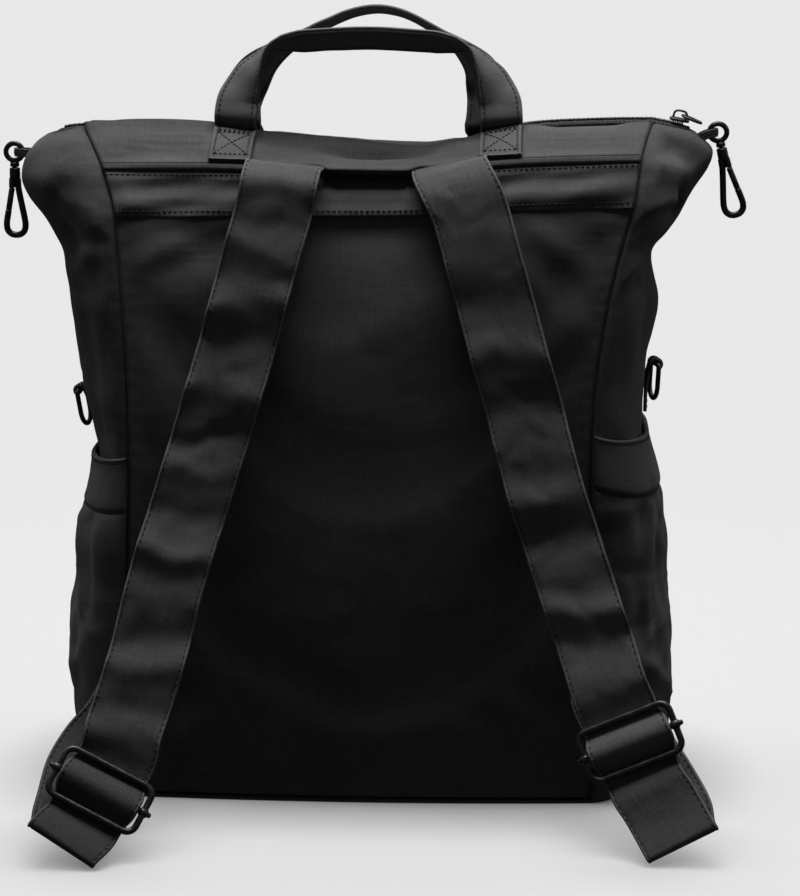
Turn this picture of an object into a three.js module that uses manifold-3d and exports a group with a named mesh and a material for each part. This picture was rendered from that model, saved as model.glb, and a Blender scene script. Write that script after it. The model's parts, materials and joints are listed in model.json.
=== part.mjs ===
// Canvas backpack standing on its base, seen from its back along +Y.
// Millimetres, +Z up. The origin is the centre of the base's underside.
// The wearer's side faces -Y, the bag's left side as seen from there is -X.
import * as THREE from "three";
import Module from "manifold-3d";

const kernel = await Module();
kernel.setup();
const { Manifold, Mesh: KernelMesh } = kernel;

// ---------------------------------------------------------------- sizes
const CLOTH = 1.8;        // canvas with its lining
const GAP = 0.5;          // clearance between pieces that are sewn together
const BASE_T = 2.4;       // stiffened base panel
const STRAP_W = 46;       // shoulder webbing
const STRAP_T = 2.6;
const HANDLE_W = 26;      // carrying handles
const HANDLE_T = 3.2;
const WIRE_R = 2.0;       // slider frame wire
const SLIDER_L = 61;      // slider, outside
const SLIDER_H = 34;
const WEAVE = 3.9;        // how far the webbing steps past each slider bar
const FOLD_R = 1.75;      // centre-line radius of the webbing's fold
const RING_R = 5.2;       // swivel eye, to the wire's centre
const RING_WIRE = 1.6;
const DRING_R = 8.5;      // side rings, to the wire's centre
const DRING_LEG = 13;     // straight part below the ring's bar
const DRING_WIRE = 1.5;
const POCKET_T = 1.8;
const ZIP_W = 5.0;        // chain width
const ZIP_H = 2.4;

// ---------------------------------------------------------------- body sections
// One row per level, base to zip. seam = where the back and front panels meet
// the gusset, fold = the gusset's outermost line, back/front = depth of the
// seams, all as the stuffed bag stands.
const LEFT = [
  { seamX: -139, seamZ: 3, foldX: -166, foldZ: 3, back: -63, front: 57 },
  { seamX: -143, seamZ: 28, foldX: -177, foldZ: 28, back: -67, front: 65 },
  { seamX: -144, seamZ: 85, foldX: -179, foldZ: 85, back: -69, front: 71 },
  { seamX: -143, seamZ: 150, foldX: -172, foldZ: 150, back: -70, front: 72 },
  { seamX: -141, seamZ: 210, foldX: -167.5, foldZ: 207, back: -69, front: 71 },
  { seamX: -141.5, seamZ: 255, foldX: -176, foldZ: 252, back: -67, front: 68 },
  { seamX: -144.5, seamZ: 305, foldX: -182.5, foldZ: 300, back: -63, front: 63 },
  { seamX: -147, seamZ: 338, foldX: -187.5, foldZ: 333, back: -58, front: 58 },
  { seamX: -149, seamZ: 362, foldX: -197, foldZ: 351, back: -53, front: 53 },
  { seamX: -153.5, seamZ: 377, foldX: -209, foldZ: 366, back: -46, front: 46 },
  { seamX: -159, seamZ: 390, foldX: -214.5, foldZ: 379, back: -38, front: 38 },
  { seamX: -167, seamZ: 402, foldX: -210, foldZ: 394, back: -24, front: 24 },
  { seamX: -174, seamZ: 410, foldX: -197, foldZ: 404, back: -9, front: 9 },
];
const RIGHT = [
  { seamX: 138, seamZ: 3, foldX: 166, foldZ: 3, back: -57, front: 57 },
  { seamX: 141, seamZ: 28, foldX: 176, foldZ: 28, back: -64, front: 65 },
  { seamX: 140, seamZ: 85, foldX: 177, foldZ: 85, back: -69, front: 71 },
  { seamX: 138, seamZ: 150, foldX: 173, foldZ: 152, back: -70, front: 72 },
  { seamX: 137, seamZ: 212, foldX: 168, foldZ: 222, back: -69, front: 71 },
  { seamX: 139, seamZ: 260, foldX: 169.5, foldZ: 268, back: -67, front: 68 },
  { seamX: 146, seamZ: 310, foldX: 176, foldZ: 306, back: -63, front: 63 },
  { seamX: 154, seamZ: 345, foldX: 173, foldZ: 336, back: -58, front: 58 },
  { seamX: 161, seamZ: 371, foldX: 186, foldZ: 355, back: -53, front: 53 },
  { seamX: 163, seamZ: 386, foldX: 197, foldZ: 374, back: -46, front: 46 },
  { seamX: 165, seamZ: 398, foldX: 206, foldZ: 387, back: -38, front: 38 },
  { seamX: 168, seamZ: 408, foldX: 208.5, foldZ: 398, back: -24, front: 24 },
  { seamX: 171, seamZ: 415, foldX: 198, foldZ: 410, back: -9, front: 9 },
];
// How far each level swells past its seams, and how much of the zip's sag it takes.
const SWELL = [
  { back: 5, front: 5, sag: 0 },
  { back: 7, front: 9, sag: 0 },
  { back: 8, front: 13, sag: 0 },
  { back: 9, front: 14, sag: 0 },
  { back: 9, front: 13, sag: 0 },
  { back: 8, front: 11, sag: 0 },
  { back: 7, front: 9, sag: 0 },
  { back: 5, front: 7, sag: 0.05 },
  { back: 3, front: 5, sag: 0.12 },
  { back: 2.5, front: 3, sag: 0.18 },
  { back: 2, front: 2, sag: 0.28 },
  { back: 1, front: 1, sag: 0.6 },
  { back: 0, front: 0, sag: 1 },
];
const YOKE_ROW = 8;       // lower edge of the yoke
const SEAM_ROW = 10;      // seam that the straps and handles are sewn into
const TOP_ROW = 12;       // zip edge
// Sag of the zip line between the handles.
const SAG = [
  { x: -150, drop: 0 }, { x: -95, drop: 2.5 }, { x: -67, drop: 7 },
  { x: -19, drop: 12 }, { x: 32, drop: 17 }, { x: 57, drop: 12.5 },
  { x: 72, drop: 7.5 }, { x: 98, drop: 2 }, { x: 150, drop: 0 },
];
// Dents and folds: where each lies on its panel, how far it spreads, its depth
// (inward is positive).
const BACK_DENTS = [
  { u: 0.1, v: 2.2, du: 0.05, dv: 1.3, depth: 3 },
  { u: 0.5, v: 7.6, du: 0.14, dv: 0.5, depth: 2.5 },
  { u: 0.78, v: 5.6, du: 0.05, dv: 1.2, depth: 2.5 },
  { u: 0.3, v: 0.9, du: 0.1, dv: 0.5, depth: 2.5 },
];
const FRONT_DENTS = [
  { u: 0.22, v: 6.2, du: 0.06, dv: 1.4, depth: 4 },
  { u: 0.7, v: 4.2, du: 0.07, dv: 1.6, depth: 3.5 },
  { u: 0.5, v: 8.6, du: 0.16, dv: 0.6, depth: 3 },
];
const LEFT_DENTS = [
  { u: -0.45, v: 7.6, du: 0.16, dv: 0.5, depth: 5 },
  { u: 0.4, v: 7.0, du: 0.16, dv: 0.6, depth: 5 },
  { u: -0.5, v: 5.4, du: 0.14, dv: 0.8, depth: 3.5 },
  { u: 0.1, v: 4.6, du: 0.3, dv: 0.35, depth: 2.5 },
];
const RIGHT_DENTS = [
  { u: -0.4, v: 7.2, du: 0.18, dv: 0.45, depth: 5 },
  { u: 0.45, v: 7.7, du: 0.16, dv: 0.5, depth: 5 },
  { u: -0.35, v: 5.8, du: 0.14, dv: 0.7, depth: 3.5 },
  { u: 0.2, v: 4.9, du: 0.3, dv: 0.35, depth: 2.5 },
];

// ---------------------------------------------------------------- side pockets
// Stand-off of the pocket's inner face from the gusset, foot to mouth.
const POCKET = [
  { off: 0.7 }, { off: 6 }, { off: 9 }, { off: 9.4 }, { off: 8.8 },
  { off: 7.8 }, { off: 6.8 }, { off: 6.3 }, { off: 6.6 },
];
const POCKET_HALF = 0.9;          // half width, as a share of the gusset
const POCKET_FOOT = 0.03;         // rows
const POCKET_TOP = { left: 3.95, right: 4.08 };
const POCKET_RISE = { left: 0.2, right: 0.42 };   // the mouth dips between the seams, rows
const GATHERS = [
  { u: -0.62, size: 1.2 }, { u: -0.3, size: 1.6 }, { u: 0.05, size: 1.3 },
  { u: 0.36, size: 1.6 }, { u: 0.66, size: 1.2 },
];

// ---------------------------------------------------------------- shoulder straps
// Centre line of the outer layer from below the seam to the fold, and the
// tilt of the webbing's width against the horizontal, degrees.
const LEFT_STRAP = [
  { x: -47.4, y: -55, z: 390, tilt: -5 },
  { x: -49, y: -63.5, z: 381, tilt: -9 },
  { x: -51.3, y: -69, z: 370.3, tilt: -14 },
  { x: -61.1, y: -77, z: 333.8, tilt: -15 },
  { x: -74.8, y: -87, z: 280.8, tilt: -16 },
  { x: -94.7, y: -101, z: 212.8, tilt: -16.5 },
  { x: -112.8, y: -119, z: 151.7, tilt: -17 },
  { x: -122.9, y: -135, z: 108.2, tilt: -18 },
  { x: -136.7, y: -157, z: 64.3, tilt: -21 },
  { x: -145.7, y: -171, z: 40.9, tilt: -22 },
  { x: -155, y: -181, z: 28.8, tilt: -25 },
  { x: -164.2, y: -193.2, z: 16.4, tilt: -28 },
];
const RIGHT_STRAP = [
  { x: 51.8, y: -55, z: 389.8, tilt: 5 },
  { x: 57, y: -63.5, z: 381, tilt: 10 },
  { x: 62.9, y: -69, z: 372.7, tilt: 16 },
  { x: 75.9, y: -77, z: 330.1, tilt: 16 },
  { x: 94.5, y: -87, z: 266.4, tilt: 15.5 },
  { x: 110.8, y: -98, z: 209.2, tilt: 16 },
  { x: 134.9, y: -112, z: 139.2, tilt: 17.5 },
  { x: 146, y: -121, z: 108.4, tilt: 18.5 },
  { x: 152.8, y: -129, z: 89.5, tilt: 20 },
  { x: 163.2, y: -138, z: 66.8, tilt: 21 },
  { x: 169.2, y: -144, z: 52.3, tilt: 22.5 },
  { x: 184, y: -154.5, z: 29.5, tilt: 22.5 },
  { x: 193.5, y: -165, z: 15.7, tilt: 22 },
];
const LEFT_SLIDER_ROW = 9;
const RIGHT_SLIDER_ROW = 9;
// Centre line of the inner layer, from just past the fold to its sewn end at
// the side seam, where the webbing stands on edge.
const LEFT_INNER = [
  { x: -163.2, y: -177, z: 23.2, tilt: -30 },
  { x: -162.7, y: -160, z: 30, tilt: -29 },
  { x: -160.8, y: -142, z: 40.6, tilt: -28 },
  { x: -154, y: -126, z: 51.4, tilt: -30 },
  { x: -143, y: -114, z: 63, tilt: -36 },
  { x: -135, y: -103, z: 79, tilt: -48 },
  { x: -132, y: -91, z: 92, tilt: -60 },
  { x: -132, y: -80, z: 97, tilt: -68 },
];
const RIGHT_INNER = [
  { x: 190.1, y: -151.5, z: 26.5, tilt: 24 },
  { x: 182, y: -139, z: 38, tilt: 25 },
  { x: 171, y: -125, z: 51.5, tilt: 26 },
  { x: 159.5, y: -111, z: 66.5, tilt: 31 },
  { x: 149.5, y: -101, z: 81, tilt: 46 },
  { x: 142.5, y: -91, z: 94, tilt: 60 },
  { x: 138, y: -80, z: 97, tilt: 70 },
];

// ---------------------------------------------------------------- handles
// Left leg from the zip edge to the grip's middle; the right leg mirrors it.
// wx, wy, wz point across the strap, so the quarter turn is in them.
const BACK_HANDLE = [
  { x: -80.3, y: -14.9, z: 415.7, wx: 0.98, wy: -0.06, wz: -0.1 },
  { x: -79.3, y: -11, z: 425.7, wx: 0.97, wy: -0.14, wz: -0.18 },
  { x: -76.6, y: -8, z: 433.4, wx: 0.81, wy: -0.5, wz: -0.29 },
  { x: -73.1, y: -5.6, z: 441.2, wx: 0.58, wy: -0.75, wz: -0.3 },
  { x: -68.4, y: -4.2, z: 448, wx: 0.3, wy: -0.93, wz: -0.2 },
  { x: -64, y: -3.5, z: 454.1, wx: 0.08, wy: -0.99, wz: -0.07 },
  { x: -59.1, y: -3.2, z: 458.3, wx: -0.05, wy: -0.99, wz: 0.11 },
  { x: -51.9, y: -3, z: 460, wx: -0.07, wy: -0.92, wz: 0.38 },
  { x: -41, y: -3, z: 461.4, wx: -0.05, wy: -0.85, wz: 0.53 },
  { x: -23, y: -3, z: 462.7, wx: -0.03, wy: -0.85, wz: 0.53 },
  { x: 0, y: -3, z: 463.5, wx: 0, wy: -0.85, wz: 0.53 },
];
const FRONT_HANDLE = [
  { x: -76, y: 16.5, z: 421, wx: 1, wy: 0.05, wz: 0 },
  { x: -73, y: 18.5, z: 432, wx: 0.93, wy: 0.35, wz: -0.04 },
  { x: -67, y: 22, z: 443, wx: 0.75, wy: 0.62, wz: -0.1 },
  { x: -56, y: 25.5, z: 453, wx: 0.45, wy: 0.87, wz: -0.15 },
  { x: -41.5, y: 28.5, z: 462.2, wx: 0.15, wy: 0.97, wz: -0.17 },
  { x: -28, y: 30.3, z: 469.6, wx: 0.05, wy: 0.985, wz: -0.17 },
  { x: -14, y: 31, z: 475.4, wx: 0, wy: 0.985, wz: -0.17 },
  { x: 0, y: 31, z: 477.6, wx: 0, wy: 0.985, wz: -0.17 },
];
// Half the distance between the feet, and where the middle lies at foot and grip.
const BACK_FEET = { half: 81, midFoot: 0, midTop: 0 };
const FRONT_FEET = { half: 76, midFoot: -5, midTop: 2.5 };
const GRIP_LOW = 421;     // level where the lean starts
const GRIP_TALL = 55;
const FOOT_ROWS = [10.06, 10.5, 11, 11.5, 11.9];

// ---------------------------------------------------------------- hardware
// Swivel eyes at the wing tips: centre, outward side, lean from the vertical.
const HOOKS = {
  left: { x: -218.5, y: 0, z: 392, side: -1, lean: 0, reach: 6.6 },
  right: { x: 210.5, y: 0, z: 408, side: 1, lean: 13, reach: 7.9 },
};
// Spine of the hook below its eye: across, down. The gate and its lug close the loop.
const HOOK_SPINE = [
  { a: -1.75, d: -16.5 }, { a: -1.9, d: -21.5 }, { a: -2.75, d: -27 },
  { a: -4.15, d: -34.5 }, { a: -5.35, d: -41 }, { a: -5.8, d: -45 },
  { a: -5.2, d: -48.4 }, { a: -3.1, d: -50.7 }, { a: 0, d: -51.4 },
  { a: 3.1, d: -50.7 }, { a: 5.2, d: -48.4 }, { a: 5.8, d: -45 },
  { a: 5.35, d: -41 }, { a: 4.45, d: -36.1 },
];
const HOOK_WIRE = 1.95;
const GATE = { topA: 2.05, topD: -22.3, lowA: 4.32, lowD: -35.4, r: 1.8 };
const LUG = { topA: 1.75, topD: -16.5, lowA: 1.9, lowD: -21.5, r: 1.95 };
const SIDE_RINGS = {
  left: { x: -180.2, z: 244, side: -1, lean: 10, turn: 10, foot: 214.5 },
  right: { x: 175, z: 265.5, side: 1, lean: 3, turn: 16, foot: 236 },
};
const STRIP_W = 9;        // strip that holds a side ring
const STRIP_OFF = 1.5;    // its centre line off the gusset
const ZIP_SLIDER_X = 187;
const PULL_DROP = 22;     // how far the pull lies below the level, degrees

// ================================================================ helpers
const V = (x, y, z) => new THREE.Vector3(x, y, z);
const lerp = THREE.MathUtils.lerp;
const rad = THREE.MathUtils.degToRad;
const MID_Y = V(0, 0, 0);

// Smooth value of a table's column at a fractional row.
function at(rows, key, v) {
  const n = rows.length - 1;
  const i = Math.min(Math.max(Math.floor(v), 0), n - 1);
  const f = v - i;
  const p = (k) => rows[Math.min(Math.max(k, 0), n)][key];
  const a = p(i - 1), b = p(i), c = p(i + 1), d = p(i + 2);
  return 0.5 * (2 * b + (c - a) * f + (2 * a - 5 * b + 4 * c - d) * f * f
    + (3 * b - a - 3 * c + d) * f * f * f);
}

function sagAt(x) {
  if (x <= SAG[0].x || x >= SAG[SAG.length - 1].x) return 0;
  let i = 0;
  while (SAG[i + 1].x < x) i += 1;
  return at(SAG, "drop", i + (x - SAG[i].x) / (SAG[i + 1].x - SAG[i].x));
}

function dent(list, u, v) {
  let d = 0;
  for (const r of list) d += r.depth * Math.exp(-(((u - r.u) / r.du) ** 2) - ((v - r.v) / r.dv) ** 2);
  return d;
}

function solid(positions, faces) {
  let volume = 0;
  for (const [a, b, c] of faces) {
    volume += positions[a].dot(V(0, 0, 0).crossVectors(positions[b], positions[c]));
  }
  const index = faces.flatMap(([a, b, c]) => (volume < 0 ? [a, c, b] : [a, b, c]));
  const g = new THREE.BufferGeometry();
  g.setAttribute("position", new THREE.Float32BufferAttribute(positions.flatMap((p) => [p.x, p.y, p.z]), 3));
  g.setIndex(index);
  return g;
}

// Closed sheet of even thickness behind the surface fn(u, v), u and v from 0 to 1.
function shell(fn, nu, nv, thick, outward) {
  const eps = 2e-3;
  const normal = (u, v) => {
    const du = fn(Math.min(u + eps, 1), v).sub(fn(Math.max(u - eps, 0), v));
    const dv = fn(u, Math.min(v + eps, 1)).sub(fn(u, Math.max(v - eps, 0)));
    return du.cross(dv).normalize();
  };
  const sign = normal(0.5, 0.5).dot(outward) < 0 ? -1 : 1;
  const pts = [], faces = [];
  for (let k = 0; k < 2; k += 1) {
    for (let j = 0; j <= nv; j += 1) {
      for (let i = 0; i <= nu; i += 1) {
        const p = fn(i / nu, j / nv);
        if (k) p.addScaledVector(normal(i / nu, j / nv), -sign * thick);
        pts.push(p);
      }
    }
  }
  const id = (k, i, j) => k * (nu + 1) * (nv + 1) + j * (nu + 1) + i;
  for (let j = 0; j < nv; j += 1) {
    for (let i = 0; i < nu; i += 1) {
      const q = [[i, j], [i + 1, j], [i + 1, j + 1], [i, j + 1]];
      const o = q.map(([a, b]) => id(0, a, b)), n = q.map(([a, b]) => id(1, a, b));
      faces.push([o[0], o[1], o[2]], [o[0], o[2], o[3]], [n[0], n[2], n[1]], [n[0], n[3], n[2]]);
    }
  }
  const rim = [];
  for (let i = 0; i < nu; i += 1) rim.push([i, 0]);
  for (let j = 0; j < nv; j += 1) rim.push([nu, j]);
  for (let i = nu; i > 0; i -= 1) rim.push([i, nv]);
  for (let j = nv; j > 0; j -= 1) rim.push([0, j]);
  rim.forEach((a, k) => {
    const b = rim[(k + 1) % rim.length];
    const a0 = id(0, ...a), b0 = id(0, ...b), a1 = id(1, ...a), b1 = id(1, ...b);
    faces.push([b0, a0, a1], [b0, a1, b1]);
  });
  return solid(pts, faces);
}

// Body through a row of closed outlines; a ring has no ends.
function loft(outlines, ring = false) {
  const m = outlines[0].length, pts = outlines.flat(), faces = [];
  const last = ring ? outlines.length : outlines.length - 1;
  for (let k = 0; k < last; k += 1) {
    const a = k * m, b = ((k + 1) % outlines.length) * m;
    for (let i = 0; i < m; i += 1) {
      const j = (i + 1) % m;
      faces.push([a + i, a + j, b + j], [a + i, b + j, b + i]);
    }
  }
  if (!ring) {
    for (const [k, flip] of [[0, true], [outlines.length - 1, false]]) {
      const c = pts.length, o = outlines[k];
      pts.push(o.reduce((s, p) => s.add(p), V(0, 0, 0)).divideScalar(m));
      for (let i = 0; i < m; i += 1) {
        const j = (i + 1) % m;
        faces.push(flip ? [c, k * m + j, k * m + i] : [c, k * m + i, k * m + j]);
      }
    }
  }
  return solid(pts, faces);
}

function tangents(pts, ring = false) {
  const n = pts.length;
  return pts.map((_, i) => {
    const a = ring ? pts[(i + n - 1) % n] : pts[Math.max(i - 1, 0)];
    const b = ring ? pts[(i + 1) % n] : pts[Math.min(i + 1, n - 1)];
    return b.clone().sub(a).normalize();
  });
}

// Flat strap along pts with its width along ws.
function ribbon(pts, ws, width, thick) {
  const ts = tangents(pts);
  return loft(pts.map((p, i) => {
    const w = ws[i].clone().addScaledVector(ts[i], -ws[i].dot(ts[i])).normalize();
    const n = V(0, 0, 0).crossVectors(ts[i], w).normalize();
    const c = (a, b) => p.clone().addScaledVector(w, (a * width) / 2).addScaledVector(n, (b * thick) / 2);
    return [c(-1, -1), c(1, -1), c(1, 1), c(-1, 1)];
  }));
}

// Round wire along pts; side is any direction square to the wire's plane.
function wire(pts, r, side, sides = 8, ring = false) {
  const ts = tangents(pts, ring);
  return loft(pts.map((p, i) => {
    const b = side.clone().addScaledVector(ts[i], -side.dot(ts[i])).normalize();
    const n = V(0, 0, 0).crossVectors(ts[i], b).normalize();
    return Array.from({ length: sides }, (_, k) => {
      const a = (2 * Math.PI * (k + 0.5)) / sides;
      return p.clone().addScaledVector(b, r * Math.cos(a)).addScaledVector(n, r * Math.sin(a));
    });
  }), ring);
}

function toKernel(g) {
  return new Manifold(new KernelMesh({
    numProp: 3,
    vertProperties: new Float32Array(g.attributes.position.array),
    triVerts: new Uint32Array(g.index.array),
  }));
}

function fromKernel(m) {
  const k = m.getMesh(), g = new THREE.BufferGeometry();
  g.setAttribute("position", new THREE.BufferAttribute(new Float32Array(k.vertProperties), 3));
  g.setIndex(new THREE.BufferAttribute(new Uint32Array(k.triVerts), 1));
  return g;
}

const unite = (...gs) => fromKernel(Manifold.union(gs.map(toKernel)));
const remove = (a, b) => fromKernel(toKernel(a).subtract(toKernel(b)));

// Round bar from a to b.
function bar(a, b, r, sides = 12) {
  const t = b.clone().sub(a).normalize();
  const side = Math.abs(t.y) < 0.9 ? V(0, 1, 0) : V(1, 0, 0);
  return wire([a, b], r, side, sides);
}

function box(w, d, h, x, y, z) {
  const o = (zz) => [V(x - w / 2, y - d / 2, zz), V(x + w / 2, y - d / 2, zz), V(x + w / 2, y + d / 2, zz), V(x - w / 2, y + d / 2, zz)];
  return loft([o(z - h / 2), o(z + h / 2)]);
}

// ================================================================ body surfaces
const ROWS = { left: LEFT, right: RIGHT };
const DENTS = { left: LEFT_DENTS, right: RIGHT_DENTS };

function gussetBare(side, u, v) {
  const r = ROWS[side];
  const a = (u * Math.PI) / 2, c = Math.max(Math.cos(a), 0), s = Math.sin(a);
  const back = at(r, "back", v), front = at(r, "front", v);
  const sx = at(r, "seamX", v), sz = at(r, "seamZ", v);
  return V(
    lerp(sx, at(r, "foldX", v), c),
    (back + front) / 2 + ((front - back) / 2) * s,
    lerp(sz, at(r, "foldZ", v), c),
  );
}

function gussetNormal(side, u, v) {
  const e = 5e-3;
  const n = gussetBare(side, Math.min(u + e, 1), v).sub(gussetBare(side, Math.max(u - e, -1), v))
    .cross(gussetBare(side, u, Math.min(v + e, TOP_ROW)).sub(gussetBare(side, u, Math.max(v - e, 0)))).normalize();
  const out = side === "left" ? -1 : 1;
  return gussetBare(side, 0, v).x * n.x < 0 && Math.abs(u) < 0.8 ? n.negate()
    : n.dot(V(out * 0.6, Math.sign(u), 0)) < 0 ? n.negate() : n;
}

function gusset(side, u, v) {
  return gussetBare(side, u, v).addScaledVector(gussetNormal(side, u, v), -dent(DENTS[side], u, v));
}

// Back (dir -1) or front (dir +1) panel at share u across and row v.
function panel(dir, u, v) {
  const key = dir < 0 ? "back" : "front";
  const x = lerp(at(LEFT, "seamX", v), at(RIGHT, "seamX", v), u);
  const y = lerp(at(LEFT, key, v), at(RIGHT, key, v), u)
    + dir * at(SWELL, key, v) * 4 * u * (1 - u)
    - dir * dent(dir < 0 ? BACK_DENTS : FRONT_DENTS, u, v);
  const z = lerp(at(LEFT, "seamZ", v), at(RIGHT, "seamZ", v), u) - at(SWELL, "sag", v) * sagAt(x);
  return V(x, y, z);
}

function panelShare(x, v) {
  const a = at(LEFT, "seamX", v), b = at(RIGHT, "seamX", v);
  return (x - a) / (b - a);
}

// Point standing off the panel at x on row v.
function offPanel(dir, x, v, off) {
  const u = panelShare(x, v), e = 4e-3;
  const n = panel(dir, u + e, v).sub(panel(dir, u - e, v))
    .cross(panel(dir, u, Math.min(v + e, TOP_ROW)).sub(panel(dir, u, v - e))).normalize();
  if (n.y * dir < 0) n.negate();
  return panel(dir, u, v).addScaledVector(n, off);
}

const cuts = (lo, hi, f) => lo + (hi - lo) * f;
const EDGE = 0.0018;      // half a seam's clearance as a share of the panel's width

function panelShell(dir, lo, hi, nu, nv) {
  return shell((u, v) => panel(dir, cuts(EDGE, 1 - EDGE, u), cuts(lo, hi, v)), nu, nv, CLOTH, V(0, dir, 0));
}

function gussetShell(side) {
  const out = side === "left" ? -1 : 1;
  return shell((u, v) => gusset(side, cuts(-0.992, 0.992, u), cuts(0, TOP_ROW, v)), 14, 26, CLOTH, V(out, 0, 0));
}

function pocketShell(side) {
  const out = side === "left" ? -1 : 1;
  return shell((f, h) => {
    const u = cuts(-POCKET_HALF, POCKET_HALF, f);
    const v = cuts(POCKET_FOOT, POCKET_TOP[side] + POCKET_RISE[side] * (u / POCKET_HALF) ** 2, h);
    const rise = at(POCKET, "off", h * (POCKET.length - 1));
    const edge = 1 - Math.abs(u / POCKET_HALF) ** 5;
    let gather = 0;
    for (const g of GATHERS) gather += g.size * Math.exp(-(((u - g.u) / 0.1) ** 2)) * Math.sin(Math.PI * Math.min(h * 1.15, 1));
    const off = POCKET_T + 0.7 + (rise - 0.7) * edge - gather * edge * 0.6;
    return gusset(side, u, v).addScaledVector(gussetNormal(side, u, v), off);
  }, 14, 14, POCKET_T, V(out, 0, 0));
}

// ================================================================ pieces
const group = new THREE.Group();
group.name = "canvas_backpack";

const LOOKS = {
  canvas: { color: 0x1c1c1d, roughness: 0.95, metalness: 0 },
  webbing: { color: 0x242425, roughness: 0.9, metalness: 0 },
  trim: { color: 0x303031, roughness: 0.7, metalness: 0 },
  tape: { color: 0x141415, roughness: 0.9, metalness: 0 },
  metal: { color: 0x0d0d0e, roughness: 0.42, metalness: 0.8 },
};

function add(name, geometry, look) {
  const flat = geometry.index ? geometry : geometry.clone();
  flat.computeVertexNormals();
  const mesh = new THREE.Mesh(flat, new THREE.MeshStandardMaterial(LOOKS[look]));
  mesh.name = name;
  group.add(mesh);
}

// Body panels.
const ROW_EDGE = 0.014;   // half a seam's clearance, in rows
add("back_panel", panelShell(-1, 0, YOKE_ROW - ROW_EDGE, 16, 16), "canvas");
add("back_yoke", panelShell(-1, YOKE_ROW + ROW_EDGE, SEAM_ROW - 0.02, 18, 3), "canvas");
add("top_band_back", panelShell(-1, SEAM_ROW + 0.02, TOP_ROW, 20, 4), "canvas");
add("front_panel", panelShell(1, 0, SEAM_ROW - 0.02, 16, 18), "canvas");
add("top_band_front", panelShell(1, SEAM_ROW + 0.02, TOP_ROW, 20, 4), "canvas");
add("left_gusset", gussetShell("left"), "canvas");
add("right_gusset", gussetShell("right"), "canvas");
add("left_pocket", pocketShell("left"), "canvas");
add("right_pocket", pocketShell("right"), "canvas");

// Base, as wide as the walls' lower edge.
{
  const rim = [];
  for (let i = 0; i < 12; i += 1) rim.push(panel(-1, i / 12, 0));
  for (let i = 0; i < 8; i += 1) rim.push(gussetBare("right", -1 + i / 4, 0));
  for (let i = 12; i > 0; i -= 1) rim.push(panel(1, i / 12, 0));
  for (let i = 8; i > 0; i -= 1) rim.push(gussetBare("left", -1 + i / 4, 0));
  const level = (z, k) => rim.map((p) => V(p.x * k, p.y * k, z));
  add("base_panel", loft([level(0, 0.985), level(0.8, 1), level(BASE_T, 1)]), "canvas");
}

// Zip: edge of the opening at x, its height and half depth.
function opening(x, dir) {
  const l = LEFT[TOP_ROW], r = RIGHT[TOP_ROW];
  if (x >= l.seamX && x <= r.seamX) {
    const p = panel(dir, panelShare(x, TOP_ROW), TOP_ROW);
    return { half: Math.abs(p.y), z: p.z };
  }
  const row = x < 0 ? l : r;
  const c = (x - row.seamX) / (row.foldX - row.seamX);
  return { half: row.front * Math.sqrt(Math.max(1 - c * c, 0)), z: lerp(row.seamZ, row.foldZ, c) };
}
const ZIP_ENDS = { left: LEFT[TOP_ROW].seamX - 17, right: RIGHT[TOP_ROW].seamX + 22.5 };
const zipX = (f) => lerp(ZIP_ENDS.left, ZIP_ENDS.right, f);

for (const [name, dir] of [["zip_tape_back", -1], ["zip_tape_front", 1]]) {
  add(name, shell((u, v) => {
    const x = zipX(u), o = opening(x, dir);
    const inner = ZIP_W / 2 + GAP, outer = Math.max(o.half - CLOTH - 0.7, inner + 0.6);
    return V(x, dir * lerp(outer, inner, v), o.z + Math.min(0.9, 0.15 * (outer - inner)) * v);
  }, 30, 1, 1.2, V(0, 0, 1)), "tape");
}
add("zip_chain", loft(Array.from({ length: 31 }, (_, i) => {
  const x = lerp(ZIP_ENDS.left + 4, ZIP_ENDS.right - 4, i / 30), z = opening(x, -1).z + 0.9;
  return [V(x, -ZIP_W / 2, z - ZIP_H / 2), V(x, ZIP_W / 2, z - ZIP_H / 2), V(x, ZIP_W / 2, z + ZIP_H / 2), V(x, -ZIP_W / 2, z + ZIP_H / 2)];
})), "metal");
{
  // Slider body over the chain, along its slope, with a bridge for the pull.
  const x = ZIP_SLIDER_X, lie = Math.atan2(opening(x - 6, -1).z - opening(x + 6, -1).z, 12);
  const z = opening(x, -1).z + 0.9 + ZIP_H / 2 + 0.5;
  const seated = (g) => g.rotateY(lie).translate(x, 0, z);
  const body = seated(box(12, 9, 1.8, 0, 0, 0.9));
  const bridge = seated(remove(box(9, 2.4, 5.4, 0, 0, 4.3), box(5.8, 6, 2.8, 0, 0, 3.7)));
  add("zip_slider", unite(body, bridge), "metal");
  // Pull: a wire loop through the bridge, lying over the wing.
  const root = V(1.4, 0, 3.7).applyAxisAngle(V(0, 1, 0), lie).add(V(x, 0, z));
  const d = V(Math.cos(rad(PULL_DROP)), 0, -Math.sin(rad(PULL_DROP)));
  const loop = [];
  for (let i = 0; i < 20; i += 1) {
    const a = (2 * Math.PI * i) / 20;
    const along = 6 - 6 * Math.cos(a), across = 4.2 * Math.sign(Math.sin(a)) * Math.abs(Math.sin(a)) ** 0.7;
    loop.push(V(root.x, across, root.z).addScaledVector(d, along));
  }
  add("zip_pull", wire(loop, 0.8, V(d.z, 0, -d.x), 8, true), "metal");
}

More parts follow.
